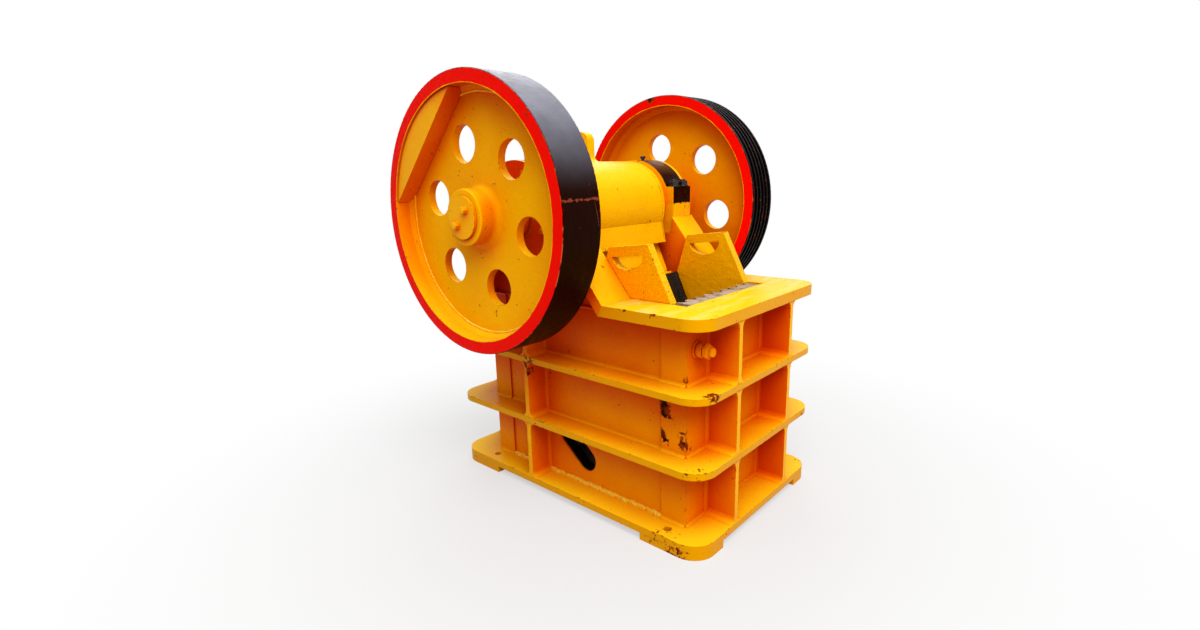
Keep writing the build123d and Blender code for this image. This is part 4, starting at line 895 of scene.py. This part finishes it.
# Hollow fillets between the flanges and the walls, with a rough bead on the base flange
levels = (
    (base_high.z, 1), (lower_low.z, -1), (lower_high.z, 1),
    (upper_low.z, -1), (upper_high.z, 1), (top_low.z, -1),
)
flange_leg = 0.010
rib_leg = 0.020
bead_radius = 0.0095
wall_welds, rough_welds, rib_welds = [], [], []
for height, up in levels:
    above = (0, 0, up)
    for side in (-1, 1):
        for out, first, last in (
            (pad_half, wall_front, wall_front + front_pad),
            (wall_half, wall_front + front_pad, wall_rear - rear_pad),
            (pad_half, wall_rear - rear_pad, wall_rear),
        ):
            start, end = (side * out, first, height), (side * out, last, height)
            if height == base_high.z and out == wall_half:
                rough_welds.append(bead(start, end, bead_radius))
            else:
                wall_welds.append(fillet(start, end, (side, 0, 0), above, flange_leg))
    for end_y, away in ((wall_front, -1), (wall_rear, 1)):
        start, end = (-pad_half, end_y, height), (pad_half, end_y, height)
        wall_welds.append(fillet(start, end, (0, away, 0), above, flange_leg))

# Fillets down both sides of each rib, and out along the flanges above and below it
tiers = ((base_high.z, lower_low.z), (lower_high.z, upper_low.z), (upper_high.z, top_low.z))
for box_low, box_high, wall, away in (
    (front_ribs_low, front_ribs_high, wall_front, -1),
    (rear_ribs_low, rear_ribs_high, wall_rear, 1),
):
    for middle in (box_low.x + rib_thickness / 2, box_high.x - rib_thickness / 2):
        for bottom, top in tiers:
            tip = base_low.y + edge_setback if away < 0 else base_high.y - edge_setback
            if away > 0 and top == top_low.z:
                tip = rear_top_high.y - edge_setback
            for hand in (-1, 1):
                face = middle + hand * rib_thickness / 2
                start, end = (face, wall, bottom), (face, wall, top)
                rib_welds.append(fillet(start, end, (hand, 0, 0), (0, away, 0), flange_leg))
                for height, up in ((bottom, 1), (top, -1)):
                    start, end = (face, wall, height), (face, tip, height)
                    rib_welds.append(fillet(start, end, (hand, 0, 0), (0, 0, up), rib_leg))
for side in (-1, 1):
    for face, hand in ((side_ribs_low.y, -1), (side_ribs_high.y, 1)):
        for bottom, top in tiers:
            corner = side * wall_half
            start, end = (corner, face, bottom), (corner, face, top)
            rib_welds.append(fillet(start, end, (side, 0, 0), (0, hand, 0), flange_leg))
            for height, up in ((bottom, 1), (top, -1)):
                if height < top_low.z:
                    start, end = (corner, face, height), (side * side_ribs_high.x, face, height)
                    rib_welds.append(fillet(start, end, (0, hand, 0), (0, 0, up), rib_leg))
finish(join(wall_welds, "wall_welds"), weld_enamel, "frame", 30)
finish(join(rough_welds, "rough_welds"), bead_enamel, "frame", 60)
finish(join(rib_welds, "rib_welds"), weld_enamel, "frame", 30)


def cove_beads():
    """Uneven bead in the corner between the web and the rim, on the outer side of both wheels."""
    cove_radius = wheel_radius - rim_thickness - rim_cove
    thickness = 0.004
    rings = []
    for face in (-flywheel_web_face, pulley_web_face):
        bpy.ops.mesh.primitive_torus_add(
            major_segments=160, minor_segments=8, major_radius=cove_radius, minor_radius=thickness,
            rotation=(0, pi / 2, 0), location=(face, shaft_y, shaft_z),
        )
        ring = fresh("cove_bead")
        lumps = ring.modifiers.new("lumps", "DISPLACE")
        lumps.texture = weld_lumps
        lumps.texture_coords = "LOCAL"
        lumps.strength = thickness
        lumps.mid_level = 0.5
        bpy.ops.object.modifier_apply(modifier="lumps")
        rings.append(ring)
    finish(join(rings, "cove_beads"), bead_enamel, "rotor", 60)


cove_beads()


def coil_spring():
    """One round wire wound as a helix between the two seats, in place of the plain stack of rings."""
    low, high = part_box("tension_spring")
    wire_radius, coil_radius, turns = 0.006, 0.030, 5
    steps_a_turn = 24
    height = (low.z + high.z) / 2
    bpy.ops.mesh.primitive_circle_add(
        vertices=8, radius=wire_radius, location=(coil_radius, 0, 0), rotation=(pi / 2, 0, 0)
    )
    piece = fresh("coil_spring")
    wind = piece.modifiers.new("wind", "SCREW")
    wind.axis = "Z"
    wind.angle = 2 * pi * turns
    wind.screw_offset = high.y - low.y - 2 * wire_radius
    wind.steps = steps_a_turn * turns
    wind.render_steps = steps_a_turn * turns
    wind.use_merge_vertices = False
    bpy.ops.object.modifier_apply(modifier="wind")
    edit()
    bpy.ops.mesh.select_mode(type="EDGE")
    bpy.ops.mesh.select_all(action="DESELECT")
    bpy.ops.mesh.select_non_manifold()
    bpy.ops.mesh.fill()
    bpy.ops.mesh.select_all(action="SELECT")
    bpy.ops.mesh.normals_make_consistent(inside=False)
    edit(False)
    seat(piece, (0, low.y + wire_radius, height), (0, 1, 0))
    finish(piece, dark_steel, "frame", 60)
    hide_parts("tension_spring")


coil_spring()


def grease_cups():
    """Round foot and broad flat lid of the oil cups, in place of the plain studs."""
    low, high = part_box("oil_cups")
    height = high.z - low.z
    stud_radius = 0.009
    cups = []
    for across in (low.x + stud_radius, high.x - stud_radius):
        cup = join([
            turned("foot", radius=0.007, height=0.7 * height, edge=0.001, sides=20),
            lift(turned("lid", radius=0.011, height=0.55 * height, edge=0.002, sides=24), 0.4 * height),
        ], "cup")
        cups.append(seat(cup, (across, shaft_y, low.z)))
    finish(join(cups, "grease_cups"), black_enamel, "frame")
    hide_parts("oil_cups")


grease_cups()


# Plain pale floor and soft studio light, each lamp with its place, width and power
floor_width = 60
fade_from, fade_to = 0.5, 1.9
glow_at_machine = 0.55
base_inset = 0.08
world_light = 0.46
lamp_aim = Vector((0, 0, 0.7))
lamps = (
    ("front_lamp", Vector((-1.7, -2.5, 4.3)), 3.6, 240),
    ("back_lamp", Vector((2.4, 2.4, 4.2)), 3.6, 90),
)


def seen_ray(tree):
    """One for what is looked at, straight, in a gloss or through glass, and none for what only lights."""
    rays = add(tree, "LightPath")
    seen = rays.outputs["Is Camera Ray"]
    for also in ("Is Glossy Ray", "Is Transmission Ray"):
        seen = add(tree, "Math", {0: seen, 1: rays.outputs[also]}, operation="MAXIMUM").outputs[0]
    return seen


def build_floor():
    """Pale floor that takes the machine's shadow and fades to white away from it."""
    bpy.ops.object.select_all(action="DESELECT")
    bpy.ops.mesh.primitive_plane_add(size=floor_width)
    floor = fresh("floor")
    material = bpy.data.materials.new("pale_floor")
    material.use_nodes = True
    tree = material.node_tree
    shader = tree.nodes["Principled BSDF"]
    shader.inputs["Base Color"].default_value = linear("#cfcfce")
    shader.inputs["Roughness"].default_value = 0.9
    position = add(tree, "TexCoord").outputs["Object"]
    far = add(tree, "VectorMath", {0: position}, operation="LENGTH").outputs["Value"]
    fading = {0: far, 1: fade_from, 2: fade_to, 3: glow_at_machine, 4: 1.0}
    fade = add(tree, "MapRange", fading, interpolation_type="SMOOTHSTEP").outputs[0]
    glow = add(tree, "Emission", {"Color": (1, 1, 1, 1), "Strength": 1.0}).outputs[0]
    share = add(tree, "Math", {0: seen_ray(tree), 1: fade}, operation="MULTIPLY").outputs[0]

    # No glow under the machine, so that what is seen through it stays dark
    foot = (pad_half, base_high.y - base_inset, 1)
    beyond = add(tree, "VectorMath", {0: position}, operation="ABSOLUTE").outputs[0]
    beyond = add(tree, "VectorMath", {0: beyond, 1: foot}, operation="SUBTRACT").outputs[0]
    beyond = add(tree, "SeparateXYZ", {0: beyond})
    beyond = add(
        tree, "Math", {0: beyond.outputs["X"], 1: beyond.outputs["Y"]}, operation="MAXIMUM"
    ).outputs[0]
    beyond = add(tree, "Math", {0: beyond, 1: 0.0}, operation="GREATER_THAN").outputs[0]
    share = add(tree, "Math", {0: share, 1: beyond}, operation="MULTIPLY").outputs[0]
    both = add(tree, "MixShader", {0: share, 1: shader.outputs[0], 2: glow}).outputs[0]
    tree.links.new(both, tree.nodes["Material Output"].inputs["Surface"])
    floor.data.materials.append(material)


def build_light():
    """White world at a plain level, and two soft lamps high up, one before the machine and one behind it."""
    world = bpy.data.worlds.new("studio")
    world.use_nodes = True
    tree = world.node_tree
    strength = add(tree, "MapRange", {0: seen_ray(tree), 3: world_light, 4: 1.0}).outputs[0]
    tree.nodes["Background"].inputs[0].default_value = (1, 1, 1, 1)
    tree.links.new(strength, tree.nodes["Background"].inputs[1])
    bpy.context.scene.world = world
    for name, where, width, power in lamps:
        lamp = bpy.data.objects.new(name, bpy.data.lights.new(name, "AREA"))
        bpy.context.scene.collection.objects.link(lamp)
        lamp.data.size = width
        lamp.data.energy = power
        turn = (lamp_aim - where).to_track_quat("-Z", "Y").to_matrix().to_4x4()
        lamp.matrix_world = Matrix.Translation(where) @ turn
    bpy.context.scene.view_settings.view_transform = "Standard"


build_floor()
build_light()
